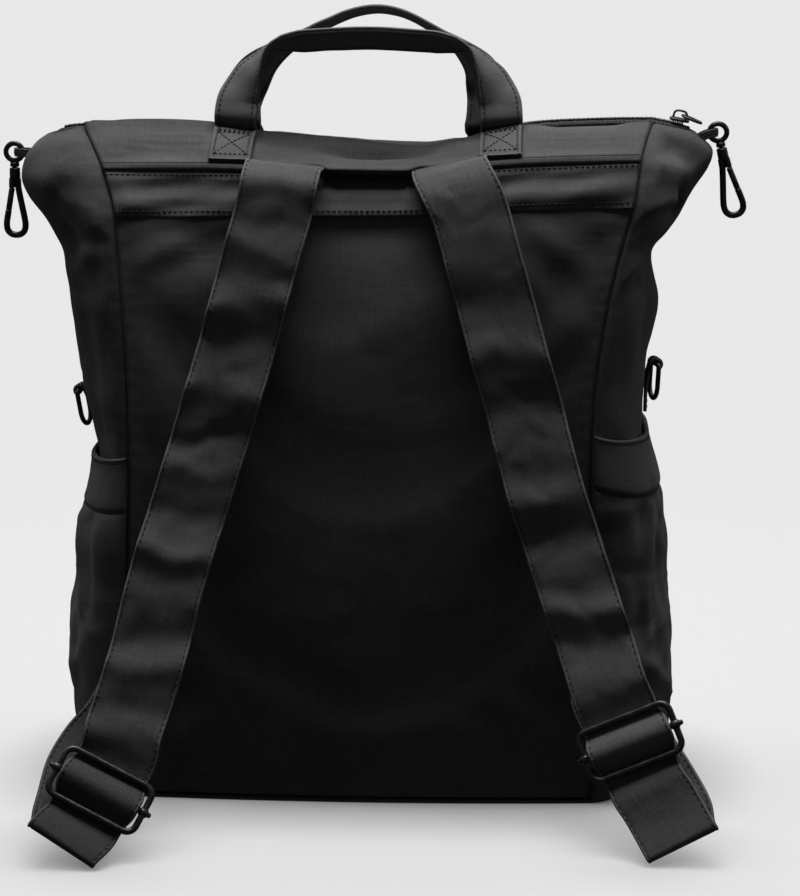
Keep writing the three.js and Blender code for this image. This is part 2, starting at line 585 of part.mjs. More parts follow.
// Handles: feet follow the top band, the grip follows its table.
function handle(dir, table, feet) {
  const legs = (sign) => FOOT_ROWS.map((v) => {
    const x = sign * feet.half + feet.midFoot;
    return {
      p: offPanel(dir, x, v, HANDLE_T / 2 + (dir < 0 ? 3 : 4) * GAP),
      w: offPanel(dir, x - sign * 9, v, 0).sub(offPanel(dir, x + sign * 9, v, 0)).normalize(),
    };
  });
  const mid = (z) => lerp(feet.midFoot, feet.midTop, THREE.MathUtils.clamp((z - GRIP_LOW) / GRIP_TALL, 0, 1));
  const half = (sign) => table.map((r) => ({ p: V(-sign * r.x + mid(r.z), r.y, r.z), w: V(-sign * r.wx, r.wy, r.wz) }));
  const all = [...legs(-1), ...half(-1), ...half(1).slice(0, -1).reverse(), ...legs(1).reverse()];
  const curve = new THREE.CatmullRomCurve3(all.map((a) => a.p), false, "centripetal");
  const n = 64, pts = [], ws = [];
  for (let i = 0; i <= n; i += 1) {
    const s = (i / n) * (all.length - 1), k = Math.min(Math.floor(s), all.length - 2);
    pts.push(curve.getPoint(i / n));
    ws.push(all[k].w.clone().lerp(all[k + 1].w, s - k));
  }
  return ribbon(pts, ws, HANDLE_W, HANDLE_T);
}
add("back_handle", handle(-1, BACK_HANDLE, BACK_FEET), "trim");
add("front_handle", handle(1, FRONT_HANDLE, FRONT_FEET), "trim");

// Shoulder straps with their sliders.
function strap(side, table, sliderRow, inner) {
  const curve = new THREE.CatmullRomCurve3(table.map((r) => V(r.x, r.y, r.z)), false, "centripetal");
  const n = table.length - 1, fine = 520;
  const across = (v) => V(Math.cos(rad(at(table, "tilt", v))), 0, Math.sin(rad(at(table, "tilt", v))));
  const raw = Array.from({ length: fine + 1 }, (_, i) => ({ v: (i / fine) * n, p: curve.getPoint(i / fine) }));
  let run = 0;
  raw.forEach((r, i) => { if (i) run += r.p.distanceTo(raw[i - 1].p); r.s = run; });
  const mid = raw[Math.round((sliderRow / n) * fine)];
  const frameAt = (i) => {
    const t = raw[Math.min(i + 1, fine)].p.clone().sub(raw[Math.max(i - 1, 0)].p).normalize();
    const w = across(raw[i].v); w.addScaledVector(t, -w.dot(t)).normalize();
    const m = V(0, 0, 0).crossVectors(t, w).normalize();
    if (m.y > 0) m.negate();
    return { t, w, m };
  };
  const seat = frameAt(raw.indexOf(mid));
  // Step behind the upper bar, over the middle bar, behind the lower bar.
  const pitch = SLIDER_H / 2 - WIRE_R;
  const step = (d) => {
    const a = Math.abs(d);
    if (a <= pitch) return WEAVE * Math.cos((Math.PI * d) / pitch);
    if (a <= pitch + 18) return -WEAVE * (0.5 + 0.5 * Math.cos((Math.PI * (a - pitch)) / 18));
    return 0;
  };
  const pts = [], ws = [];
  // Sewn end, just clear of the seam.
  const first = table[0];
  const rootX = first.x - (side === "left" ? -1 : 1) * 1.2, rootOff = STRAP_T / 2 + GAP + 0.9;
  pts.push(offPanel(-1, rootX, SEAM_ROW - 0.12, rootOff));
  ws.push(offPanel(-1, rootX + 20, SEAM_ROW - 0.12, 0).sub(offPanel(-1, rootX - 20, SEAM_ROW - 0.12, 0)).normalize());
  let lastS = -99;
  raw.forEach((r, i) => {
    const d = r.s - mid.s;
    const pace = Math.abs(d) < pitch + 20 ? 2.2 : r.s > run - 12 ? 4 : 11;
    if (r.s - lastS < pace && i < fine) return;
    lastS = r.s;
    const f = frameAt(i), hold = 1 - THREE.MathUtils.smoothstep(Math.abs(d), pitch + 4, pitch + 24);
    const p = r.p.clone().lerp(mid.p.clone().addScaledVector(seat.t, d), hold);
    const m = f.m.clone().lerp(seat.m, hold).normalize();
    pts.push(p.addScaledVector(m, step(d))); ws.push(f.w.clone().lerp(seat.w, hold));
  });
  const end = frameAt(fine), tip = pts[pts.length - 1];
  const hub = tip.clone().addScaledVector(end.m, -FOLD_R);
  for (let i = 1; i <= 6; i += 1) {
    const a = (Math.PI * i) / 6;
    pts.push(hub.clone().addScaledVector(end.m, FOLD_R * Math.cos(a)).addScaledVector(end.t, FOLD_R * Math.sin(a)));
    ws.push(end.w);
  }
  // Inner layer, back to the lower side seam.
  const stem = pts[pts.length - 1].clone();
  const back = new THREE.CatmullRomCurve3([stem, ...inner.map((r) => V(r.x, r.y, r.z))], false, "centripetal");
  const turns = inner.map((r) => V(Math.cos(rad(r.tilt)), 0, Math.sin(rad(r.tilt))));
  const spread = [end.w, ...turns];
  for (let i = 1; i <= 20; i += 1) {
    const s = (i / 20) * inner.length, k = Math.min(Math.floor(s), inner.length - 1);
    pts.push(back.getPoint(i / 20));
    ws.push(spread[k].clone().lerp(spread[k + 1], s - k));
  }
  let length = 0;
  pts.forEach((p, i) => { if (i) length += p.distanceTo(pts[i - 1]); });
  return { geometry: ribbon(pts, ws, STRAP_W, STRAP_T), seat, centre: mid.p, length };
}

function sliderFrame({ seat, centre }) {
  const hl = SLIDER_L / 2 - WIRE_R, hh = SLIDER_H / 2 - WIRE_R, cr = 6, pts = [];
  const place = (a, b) => centre.clone().addScaledVector(seat.w, a).addScaledVector(seat.t, b);
  for (const [cx, cy, a0] of [[hl - cr, hh - cr, 0], [-(hl - cr), hh - cr, 90], [-(hl - cr), -(hh - cr), 180], [hl - cr, -(hh - cr), 270]]) {
    for (let k = 0; k <= 4; k += 1) {
      const a = rad(a0 + (90 * k) / 4);
      pts.push(place(cx + cr * Math.cos(a), cy + cr * Math.sin(a)));
    }
  }
  const frame = wire(pts, WIRE_R, seat.m, 8, true);
  const middle = bar(place(-hl - 3.6, 0), place(hl + 3.6, 0), WIRE_R * 0.95, 10);
  const nub = (a) => wire([place(a - 1.9, 0), place(a - 1.2, 0), place(a + 1.2, 0), place(a + 1.9, 0)].map((p) => p), WIRE_R * 1.35, seat.m, 10);
  return unite(frame, middle, nub(-hl - 3), nub(hl + 3));
}

const leftStrap = strap("left", LEFT_STRAP, LEFT_SLIDER_ROW, LEFT_INNER);
const rightStrap = strap("right", RIGHT_STRAP, RIGHT_SLIDER_ROW, RIGHT_INNER);
add("left_strap", leftStrap.geometry, "webbing");
add("right_strap", rightStrap.geometry, "webbing");
add("left_slider", sliderFrame(leftStrap), "metal");
add("right_slider", sliderFrame(rightStrap), "metal");

// Snap hooks. Local a runs outwards along X, d runs up along Z, before the lean.
function hook(side) {
  const h = HOOKS[side], turn = rad(-h.side * h.lean);
  const place = (a, d, y = 0) => V(h.side * a, y, d).applyAxisAngle(V(0, 1, 0), turn).add(V(h.x, h.y, h.z));
  const ring = Array.from({ length: 20 }, (_, i) => place(RING_R * Math.cos((Math.PI * i) / 10), RING_R * Math.sin((Math.PI * i) / 10)));
  const eye = unite(
    wire(ring, RING_WIRE, V(0, 1, 0), 8, true),
    bar(place(0, -6.0), place(0, -9.2), 2.8),
    bar(place(0, -8), place(0, -15.6), 1.3),
    bar(place(0, -14.3), place(0, -15.7), 2.1),
  );
  const barrel = bar(place(0, -9.7), place(0, -17.4), 3.3);
  const spine = new THREE.CatmullRomCurve3(HOOK_SPINE.map((r) => place(r.a, r.d)), false, "centripetal").getPoints(26);
  let body = unite(barrel, wire(spine, HOOK_WIRE, V(0, 1, 0), 10), bar(place(LUG.topA, LUG.topD), place(LUG.lowA, LUG.lowD), LUG.r, 10));
  body = remove(body, bar(place(0, -9), place(0, -16.1), 1.36, 24));
  body = remove(body, bar(place(0, -13.9), place(0, -16.2), 2.5, 20));
  const gate = bar(place(GATE.topA, GATE.topD), place(GATE.lowA, GATE.lowD), GATE.r, 10);
  add(`${side}_hook_eye`, eye, "metal");
  add(`${side}_hook_body`, body, "metal");
  add(`${side}_hook_gate`, gate, "metal");

  // Tab: a narrow strip from the wing tip, looped through the eye.
  const t = 1.5, gapY = 3.3, wide = 5.2, far = h.x - h.side * 0.4, root = h.x - h.side * h.reach;
  const pts = [V(root, -gapY, h.z), V((root + far) / 2, -gapY, h.z)];
  for (let i = 0; i <= 8; i += 1) {
    const a = -Math.PI / 2 + (Math.PI * i) / 8;
    pts.push(V(far + h.side * (gapY * Math.cos(a) - gapY), gapY * Math.sin(a), h.z));
  }
  pts.push(V((root + far) / 2, gapY, h.z), V(root, gapY, h.z));
  add(`${side}_wing_tab`, ribbon(pts, pts.map(() => V(0, 0, 1)), wide, t), "trim");
}
hook("left");
hook("right");

// Side rings, hanging flat on the gusset from a sewn strip that runs up behind them.
function sideRing(side) {
  const r = SIDE_RINGS[side], lean = rad(r.side * r.lean);
  const spin = (v) => v.applyAxisAngle(V(0, 1, 0), lean).applyAxisAngle(V(0, 0, 1), rad(r.side * r.turn));
  const down = spin(V(0, 0, -1)), outw = spin(V(r.side, 0, 0)), along = spin(V(0, 1, 0));
  const top = V(r.x, 0, r.z), pts = [];
  const put = (o, d, y = 0) => top.clone().addScaledVector(outw, o).addScaledVector(down, d).addScaledVector(along, y);
  for (let i = 0; i <= 14; i += 1) {
    const a = (Math.PI * i) / 14;
    pts.push(put(0, DRING_LEG + DRING_R * Math.sin(a), DRING_R * Math.cos(a)));
  }
  pts.push(put(0, 2, -DRING_R), put(0, 0, -DRING_R + 2), put(0, 0, -2.5), put(0, 0, 2.5), put(0, 0, DRING_R - 2), put(0, 2, DRING_R));
  add(`${side}_side_ring`, wire(pts, DRING_WIRE, outw, 8, true), "metal");
  // Strip: from its foot up the gusset, over the bar and round under it.
  const loop = DRING_WIRE + 0.3 + 0.75, strip = [];
  const skin = (z) => {
    let v = 4;
    for (let k = 0; k < 40; k += 1) v += (z - at(ROWS[side], "foldZ", v)) / 60;
    return V(at(ROWS[side], "foldX", v) + r.side * STRIP_OFF, 0, z);
  };
  for (let i = 0; i <= 4; i += 1) strip.push(skin(lerp(r.foot, r.z - 7, i / 4)));
  for (let i = 0; i <= 8; i += 1) {
    const a = Math.PI - (1.32 * Math.PI * i) / 8;
    strip.push(put(loop * Math.cos(a), -loop * Math.sin(a)));
  }
  const wide = strip.map((_, i) => V(0, 1, 0).lerp(along, Math.min(i / 6, 1)));
  add(`${side}_side_tab`, ribbon(strip, wide, STRIP_W, 1.4), "trim");
}
sideRing("left");
sideRing("right");

export default group;
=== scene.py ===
import json
import math

import bpy
import numpy as np
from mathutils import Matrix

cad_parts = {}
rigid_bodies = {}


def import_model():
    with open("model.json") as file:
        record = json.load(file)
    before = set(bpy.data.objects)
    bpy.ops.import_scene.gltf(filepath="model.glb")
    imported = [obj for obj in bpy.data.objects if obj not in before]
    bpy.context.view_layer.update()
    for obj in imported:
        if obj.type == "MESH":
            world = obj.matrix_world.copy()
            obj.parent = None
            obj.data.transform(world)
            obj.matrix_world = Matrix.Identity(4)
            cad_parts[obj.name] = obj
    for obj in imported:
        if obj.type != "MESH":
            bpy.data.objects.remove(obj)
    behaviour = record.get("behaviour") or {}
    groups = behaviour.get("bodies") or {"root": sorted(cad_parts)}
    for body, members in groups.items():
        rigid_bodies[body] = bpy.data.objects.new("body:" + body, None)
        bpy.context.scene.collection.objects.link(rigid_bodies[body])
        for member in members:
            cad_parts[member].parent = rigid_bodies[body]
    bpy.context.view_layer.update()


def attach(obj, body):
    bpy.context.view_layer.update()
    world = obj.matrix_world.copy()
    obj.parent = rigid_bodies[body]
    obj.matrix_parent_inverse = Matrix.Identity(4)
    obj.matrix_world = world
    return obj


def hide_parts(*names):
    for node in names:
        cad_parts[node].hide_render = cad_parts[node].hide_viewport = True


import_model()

MM = 0.001
PI = math.pi

# ------------------------------------------------------------------ tables, mm
# The same sections, routes and places as the CAD part.


def cols(names, rows):
    return {n: np.array([r[i] for r in rows], float) for i, n in enumerate(names.split())}


SECTION = "seamX seamZ foldX foldZ back front"
LEFT = cols(SECTION, [
    (-139, 3, -166, 3, -63, 57), (-143, 28, -177, 28, -67, 65), (-144, 85, -179, 85, -69, 71),
    (-143, 150, -172, 150, -70, 72), (-141, 210, -167.5, 207, -69, 71), (-141.5, 255, -176, 252, -67, 68),
    (-144.5, 305, -182.5, 300, -63, 63), (-147, 338, -187.5, 333, -58, 58), (-149, 362, -197, 351, -53, 53),
    (-153.5, 377, -209, 366, -46, 46), (-159, 390, -214.5, 379, -38, 38), (-167, 402, -210, 394, -24, 24),
    (-174, 410, -197, 404, -9, 9)])
RIGHT = cols(SECTION, [
    (138, 3, 166, 3, -57, 57), (141, 28, 176, 28, -64, 65), (140, 85, 177, 85, -69, 71),
    (138, 150, 173, 152, -70, 72), (137, 212, 168, 222, -69, 71), (139, 260, 169.5, 268, -67, 68),
    (146, 310, 176, 306, -63, 63), (154, 345, 173, 336, -58, 58), (161, 371, 186, 355, -53, 53),
    (163, 386, 197, 374, -46, 46), (165, 398, 206, 387, -38, 38), (168, 408, 208.5, 398, -24, 24),
    (171, 415, 198, 410, -9, 9)])
ROWS = {"left": LEFT, "right": RIGHT}
OUT = {"left": -1.0, "right": 1.0}
SWELL = cols("back front sag", [
    (5, 5, 0), (7, 9, 0), (8, 13, 0), (9, 14, 0), (9, 13, 0), (8, 11, 0), (7, 9, 0), (5, 7, .05),
    (3, 5, .12), (2.5, 3, .18), (2, 2, .28), (1, 1, .6), (0, 0, 1)])
SAG = cols("x drop", [(-150, 0), (-95, 2.5), (-67, 7), (-19, 12), (32, 17), (57, 12.5), (72, 7.5), (98, 2), (150, 0)])
YOKE_ROW, SEAM_ROW, TOP_ROW = 8, 10, 12
DENT = "u v du dv depth"
DENTS = {
    "back": cols(DENT, [(.1, 2.2, .05, 1.3, 3), (.5, 7.6, .14, .5, 2.5), (.78, 5.6, .05, 1.2, 2.5), (.3, .9, .1, .5, 2.5)]),
    "front": cols(DENT, [(.22, 6.2, .06, 1.4, 4), (.7, 4.2, .07, 1.6, 3.5), (.5, 8.6, .16, .6, 3)]),
    "left": cols(DENT, [(-.45, 7.6, .16, .5, 5), (.4, 7, .16, .6, 5), (-.5, 5.4, .14, .8, 3.5), (.1, 4.6, .3, .35, 2.5)]),
    "right": cols(DENT, [(-.4, 7.2, .18, .45, 5), (.45, 7.7, .16, .5, 5), (-.35, 5.8, .14, .7, 3.5), (.2, 4.9, .3, .35, 2.5)]),
}
POCKET_OFF = cols("off", [(.7,), (6,), (9,), (9.4,), (8.8,), (7.8,), (6.8,), (6.3,), (6.6,)])
POCKET_TOP = {"left": 4.09, "right": 4.08}
POCKET_RISE = {"left": .045, "right": .32}
STRAP_W, STRAP_T = 46.0, 2.6
HANDLE_W, HANDLE_T = 26.0, 3.2
WIRE_R, SLIDER_L, SLIDER_H, WEAVE, FOLD_R = 2.0, 61.0, 34.0, 3.9, 1.75
CLOTH = 1.8
STRAPS = {
    "left": cols("x y z tilt", [
        (-47.4, -55, 392.5, -10), (-49, -63.5, 383.5, -11.5), (-51.3, -69, 370.3, -14), (-61.1, -77, 333.8, -15),
        (-74.8, -87, 280.8, -16), (-94.7, -101, 212.8, -16.5), (-112.8, -119, 151.7, -17), (-122.9, -135, 108.2, -18),
        (-136.7, -157, 64.3, -21), (-145.7, -171, 40.9, -22), (-155, -181, 28.8, -25), (-164.2, -193.2, 16.4, -28)]),
    "right": cols("x y z tilt", [
        (51.8, -55, 391.5, 8), (57, -63.5, 383, 11), (62.9, -69, 372.7, 16), (75.9, -77, 330.1, 16),
        (94.5, -87, 266.4, 15.5), (110.8, -98, 209.2, 16), (134.9, -112, 139.2, 17.5), (146, -121, 108.4, 18.5),
        (152.8, -129, 89.5, 20), (163.2, -138, 66.8, 21), (169.2, -144, 52.3, 22.5), (184, -154.5, 29.5, 22.5),
        (193.5, -165, 15.7, 22)]),
}
SLIDER_ROW = {"left": 9, "right": 9}
INNER = {
    "left": cols("x y z tilt", [
        (-163.2, -177, 23.2, -30), (-162.7, -160, 30, -29), (-160.8, -142, 40.6, -28), (-154, -126, 51.4, -30),
        (-143, -114, 63, -36), (-135, -103, 79, -48), (-132, -91, 92, -60), (-132, -76, 98, -70)]),
    "right": cols("x y z tilt", [
        (190.1, -151.5, 26.5, 24), (182, -139, 38, 25), (171, -125, 51.5, 26), (159.5, -111, 66.5, 31),
        (149.5, -101, 81, 46), (142.5, -91, 94, 60), (138, -76, 98, 72)]),
}
HANDLE_COLS = "x y z wx wy wz"
HANDLES = {
    "back": cols(HANDLE_COLS, [
        (-80.3, -14.9, 415.7, 0.98, -0.06, -0.1), (-79.3, -11, 425.7, 0.97, -0.14, -0.18),
        (-76.6, -8, 433.4, 0.81, -0.5, -0.29), (-73.1, -5.6, 441.2, 0.58, -0.75, -0.3),
        (-68.4, -4.2, 448, 0.3, -0.93, -0.2), (-64, -3.5, 454.1, 0.08, -0.99, -0.07),
        (-59.1, -3.2, 458.3, -0.05, -0.99, 0.11), (-51.9, -3, 460, -0.07, -0.92, 0.38),
        (-41, -3, 461.4, -0.05, -0.85, 0.53), (-23, -3, 462.7, -0.03, -0.85, 0.53), (0, -3, 463.5, 0, -0.85, 0.53)]),
    "front": cols(HANDLE_COLS, [
        (-76, 16.5, 421, 1, 0.05, 0), (-73, 18.5, 432, 0.93, 0.35, -0.04), (-67, 22, 443, 0.75, 0.62, -0.1),
        (-56, 25.5, 453, 0.45, 0.87, -0.15), (-41.5, 28.5, 462.2, 0.15, 0.97, -0.17),
        (-28, 30.3, 469.6, 0.05, 0.985, -0.17), (-14, 31, 475.4, 0, 0.985, -0.17), (0, 31, 477.6, 0, 0.985, -0.17)]),
}
# Half the distance between the feet, where the middle lies at foot and grip, stand-off.
FEET = {"back": (81.0, 0.0, 0.0, 1.5), "front": (76.0, -5.0, 2.5, 2.0)}
FOOT_ROWS = (10.06, 10.5, 11, 11.5, 11.9)
HOOKS = {"left": (-218.5, 0.0, 392.0, 0.0, 6.6), "right": (210.5, 0.0, 408.0, 13.0, 7.9)}
HOOK_SPINE = [(-1.75, -16.5), (-1.9, -21.5), (-2.75, -27), (-4.15, -34.5), (-5.35, -41), (-5.8, -45), (-5.2, -48.4),
              (-3.1, -50.7), (0, -51.4), (3.1, -50.7), (5.2, -48.4), (5.8, -45), (5.35, -41), (4.45, -36.1)]
# x, z, lean, turn, foot of the strip.
SIDE_RINGS = {"left": (-180.2, 244.0, 10.0, 10.0, 214.5), "right": (175.0, 265.5, 3.0, 16.0, 236.0)}
DRING_R, DRING_LEG, DRING_WIRE = 8.5, 13.0, 1.5
STRIP_W, STRIP_OFF = 9.0, 1.5
ZIP_SLIDER_X = 187.0
ZIP_W, ZIP_H = 5.0, 2.4


# ------------------------------------------------------------------ numbers
def V(*c):
    return np.array(c, float)


def unit(a):
    return a / np.maximum(np.linalg.norm(a, axis=-1, keepdims=True), 1e-12)


def at(tab, key, v):
    a = tab[key]
    n = len(a) - 1
    v = np.asarray(v, float)
    i = np.clip(np.floor(v).astype(int), 0, n - 1)
    f = v - i
    g = lambda k: a[np.clip(k, 0, n)]
    p0, p1, p2, p3 = g(i - 1), g(i), g(i + 1), g(i + 2)
    return .5 * (2 * p1 + (p2 - p0) * f + (2 * p0 - 5 * p1 + 4 * p2 - p3) * f * f + (3 * p1 - p0 - 3 * p2 + p3) * f ** 3)


def smooth(x, a, b):
    t = np.clip((np.asarray(x, float) - a) / (b - a), 0, 1)
    return t * t * (3 - 2 * t)


def noise(x, y, seed=0):
    """Smooth lattice noise from -1 to 1, the same every run."""
    x, y = np.asarray(x, float), np.asarray(y, float)
    xi, yi = np.floor(x).astype(np.int64), np.floor(y).astype(np.int64)
    fx, fy = x - xi, y - yi
    fx, fy = fx * fx * fx * (fx * (fx * 6 - 15) + 10), fy * fy * fy * (fy * (fy * 6 - 15) + 10)

    def r(i, j):
        n = (i * 374761393 + j * 668265263 + seed * 974634777) & 0xffffffff
        n = ((n ^ (n >> 13)) * 1274126177) & 0xffffffff
        return ((n ^ (n >> 16)) & 0xffff) / 32767.5 - 1
    a, b, c, d = r(xi, yi), r(xi + 1, yi), r(xi, yi + 1), r(xi + 1, yi + 1)
    return (a * (1 - fx) + b * fx) * (1 - fy) + (c * (1 - fx) + d * fx) * fy


def fbm(x, y, seed=0, octaves=4):
    out, amp = 0, 1.0
    for k in range(octaves):
        out = out + amp * noise(x * 2 ** k + 17.3 * k, y * 2 ** k - 9.1 * k, seed + k)
        amp *= .5
    return out


def crumple(x, y, scale, seed=0):
    """Creased cloth, about -1 to 1: soft pillows between sharp lines."""
    x, y = x / scale, y / scale
    wx = x + .55 * fbm(x * .7, y * .7, seed + 11, 2)
    wy = y + .55 * fbm(x * .7 + 5, y * .7 + 3, seed + 23, 2)
    a = np.abs(noise(wx, wy, seed)) ** .8
    b = np.abs(noise(wx * 1.15 + 31, wy * 1.15 - 7, seed + 5)) ** .8
    return 1.5 * (a - b)


def curve3(points, n):
    """Centripetal spline through points, n + 1 samples, evenly shared by row."""
    p = np.asarray(points, float)
    ext = np.vstack([2 * p[0] - p[1], p, 2 * p[-1] - p[-2]])
    out = []
    for k in range(n + 1):
        s = k / n * (len(p) - 1)
        i = min(int(math.floor(s)), len(p) - 2)
        w = s - i
        q0, q1, q2, q3 = ext[i], ext[i + 1], ext[i + 2], ext[i + 3]
        d0, d1, d2 = (np.linalg.norm(b - a) ** .5 for a, b in ((q0, q1), (q1, q2), (q2, q3)))
        d1 = d1 if d1 > 1e-4 else 1.0
        d0 = d0 if d0 > 1e-4 else d1
        d2 = d2 if d2 > 1e-4 else d1
        t1 = ((q1 - q0) / d0 - (q2 - q0) / (d0 + d1) + (q2 - q1) / d1) * d1
        t2 = ((q2 - q1) / d1 - (q3 - q1) / (d1 + d2) + (q3 - q2) / d2) * d1
        out.append(q1 + t1 * w + (-3 * q1 + 3 * q2 - 2 * t1 - t2) * w * w + (2 * q1 - 2 * q2 + t1 + t2) * w ** 3)
    return np.array(out)


def tangents(p, ring=False):
    if ring:
        return unit(np.roll(p, -1, 0) - np.roll(p, 1, 0))
    t = np.empty_like(p)
    t[1:-1] = p[2:] - p[:-2]
    t[0], t[-1] = p[1] - p[0], p[-1] - p[-2]
    return unit(t)


def run_of(p):
    return np.concatenate([[0], np.cumsum(np.linalg.norm(np.diff(p, axis=0), axis=1))])


def resample(p, s, extra=()):
    """Points of the polyline p at distances s along it, with any other columns."""
    along = run_of(p)
    out = [np.stack([np.interp(s, along, p[:, k]) for k in range(3)], 1)]
    for e in extra:
        out.append(np.stack([np.interp(s, along, e[:, k]) for k in range(e.shape[1])], 1))
    return out


# ------------------------------------------------------------------ body surfaces
def sag_at(x):
    i = np.clip(np.searchsorted(SAG["x"], x, side="right") - 1, 0, len(SAG["x"]) - 2)
    f = (x - SAG["x"][i]) / (SAG["x"][i + 1] - SAG["x"][i])
    return np.where((x <= SAG["x"][0]) | (x >= SAG["x"][-1]), 0, at(SAG, "drop", i + np.clip(f, 0, 1)))


def dent(name, u, v):
    t, d = DENTS[name], 0
    for k in range(len(t["u"])):
        d = d + t["depth"][k] * np.exp(-((u - t["u"][k]) / t["du"][k]) ** 2 - ((v - t["v"][k]) / t["dv"][k]) ** 2)
    return d


def gusset(side, u, v):
    r = ROWS[side]
    a = u * PI / 2
    c, s = np.maximum(np.cos(a), 0), np.sin(a)
    back, front = at(r, "back", v), at(r, "front", v)
    sx, sz = at(r, "seamX", v), at(r, "seamZ", v)
    return np.stack([sx + (at(r, "foldX", v) - sx) * c, (back + front) / 2 + (front - back) / 2 * s,
                     sz + (at(r, "foldZ", v) - sz) * c], -1)


def panel(d, u, v):
    key = "back" if d < 0 else "front"
    mix = lambda k: at(LEFT, k, v) * (1 - u) + at(RIGHT, k, v) * u
    x = mix("seamX")
    y = mix(key) + d * at(SWELL, key, v) * 4 * u * (1 - u) - d * dent(key, u, v)
    return np.stack([x, y, mix("seamZ") - at(SWELL, "sag", v) * sag_at(x)], -1)


def share(x, v):
    a, b = at(LEFT, "seamX", v), at(RIGHT, "seamX", v)
    return (x - a) / (b - a)


def with_normal(fn, u, v, outward, eu=2e-3, ev=1e-2, vmax=TOP_ROW):
    """Points of fn(u, v) and the normals on the side of outward."""
    p = fn(u, v)
    du = fn(u + eu, v) - fn(u - eu, v)
    dv = fn(u, np.minimum(v + ev, vmax)) - fn(u, np.maximum(v - ev, 0))
    n = unit(np.cross(du, dv))
    m = tuple(k // 2 for k in n.shape[:-1])
    if np.dot(n[m], outward) < 0:
        n = -n
    return p, n


def off_panel(d, x, v, off):
    x, v = np.asarray(x, float), np.asarray(v, float)
    fn = lambda u, w: panel(d, u, w)
    p = fn(share(x, v), v)
    e = 4e-3
    u = share(x, v)
    n = unit(np.cross(fn(u + e, v) - fn(u - e, v), fn(u, np.minimum(v + e, TOP_ROW)) - fn(u, v - e)))
    n = np.where((n[..., 1] * d < 0)[..., None], -n, n)
    return p + n * off, n


# ------------------------------------------------------------------ mesh making
def add_mesh(name, verts, faces, uv=None, attrs=None, material=None, smooth_shade=True):
    """verts in mm, faces a list of index arrays (quads or triangles)."""
    me = bpy.data.meshes.new(name)
    verts = np.asarray(verts, float)
    me.vertices.add(len(verts))
    me.vertices.foreach_set("co", (verts * MM).astype(np.float32).ravel())
    faces = [np.asarray(f, np.int32) for f in faces if len(f)]
    loops = np.concatenate([f.ravel() for f in faces])
    sizes = np.concatenate([np.full(len(f), f.shape[1], np.int32) for f in faces])
    starts = np.concatenate([[0], np.cumsum(sizes)[:-1]]).astype(np.int32)
    me.loops.add(len(loops))
    me.loops.foreach_set("vertex_index", loops)
    me.polygons.add(len(sizes))
    me.polygons.foreach_set("loop_start", starts)
    me.polygons.foreach_set("use_smooth", np.full(len(sizes), smooth_shade))
    if uv is not None:
        layer = me.uv_layers.new(name="UVMap")
        layer.data.foreach_set("uv", np.asarray(uv, np.float32)[loops].ravel())
    for k, a in (attrs or {}).items():
        me.attributes.new(k, "FLOAT", "POINT").data.foreach_set("value", np.asarray(a, np.float32).ravel())
    me.update(calc_edges=True)
    me.validate()
    ob = bpy.data.objects.new(name, me)
    bpy.context.scene.collection.objects.link(ob)
    if material is not None:
        me.materials.append(material)
    return ob


def grid_faces(nv, nu, base=0, flip=False, wrap=False):
    i = np.arange(nu if wrap else nu - 1)
    j = np.arange(nv - 1)
    I, J = np.meshgrid(i, j)
    a, b = J * nu + I, J * nu + (I + 1) % nu
    q = np.stack([a, b, b + nu, a + nu], -1).reshape(-1, 4) + base
    return q[:, ::-1] if flip else q


def shell_piece(name, outer, inner, uv, attrs, material, flip):
    """A closed sheet between two grids of points."""
    nv, nu = outer.shape[:2]
    n = nv * nu
    verts = np.concatenate([outer.reshape(-1, 3), inner.reshape(-1, 3)])
    rim = np.concatenate([np.arange(nu - 1), np.arange(nv - 1) * nu + nu - 1,
                          (nv - 1) * nu + np.arange(nu - 1, 0, -1), np.arange(nv - 1, 0, -1) * nu])
    nxt = np.roll(rim, -1)
    side = np.stack([nxt, rim, rim + n, nxt + n], -1)
    faces = [grid_faces(nv, nu, 0, flip), grid_faces(nv, nu, n, not flip), side[:, ::-1] if flip else side]
    uv2 = np.concatenate([uv.reshape(-1, 2)] * 2)
    at2 = {k: np.concatenate([a.reshape(-1)] * 2) for k, a in attrs.items()}
    return add_mesh(name, verts, faces, uv2, at2, material)


def spread_lines(lo, hi, n, length, marks=()):
    """Parameters from lo to hi, closer together at both ends and around marks."""
    near = np.array([0, .3, .7, 1.2, 1.8, 2.5, 3.4]) / length * (hi - lo)
    a = [lo + near, hi - near, np.linspace(lo, hi, n)]
    for m in marks:
        a.append(m + np.array([-1.6, -1, -.5, 0, .5, 1, 1.6]) / length * (hi - lo))
    a = np.unique(np.concatenate(a))
    a = a[(a >= lo - 1e-9) & (a <= hi + 1e-9)]
    keep, last = [], -1e9
    for x in a:
        if (x - last) * length / (hi - lo) > .16:
            keep.append(x)
            last = x
    keep[-1] = hi
    return np.array(keep)


def roll(d, r):
    """How far a sewn edge turns in, at distance d from the seam."""
    t = np.clip(1 - d / r, 0, 1)
    return r * (1 - np.sqrt(np.maximum(1 - t * t, 0)))


def groove(d, depth, width):
    return -depth * np.exp(-(d / width) ** 2)


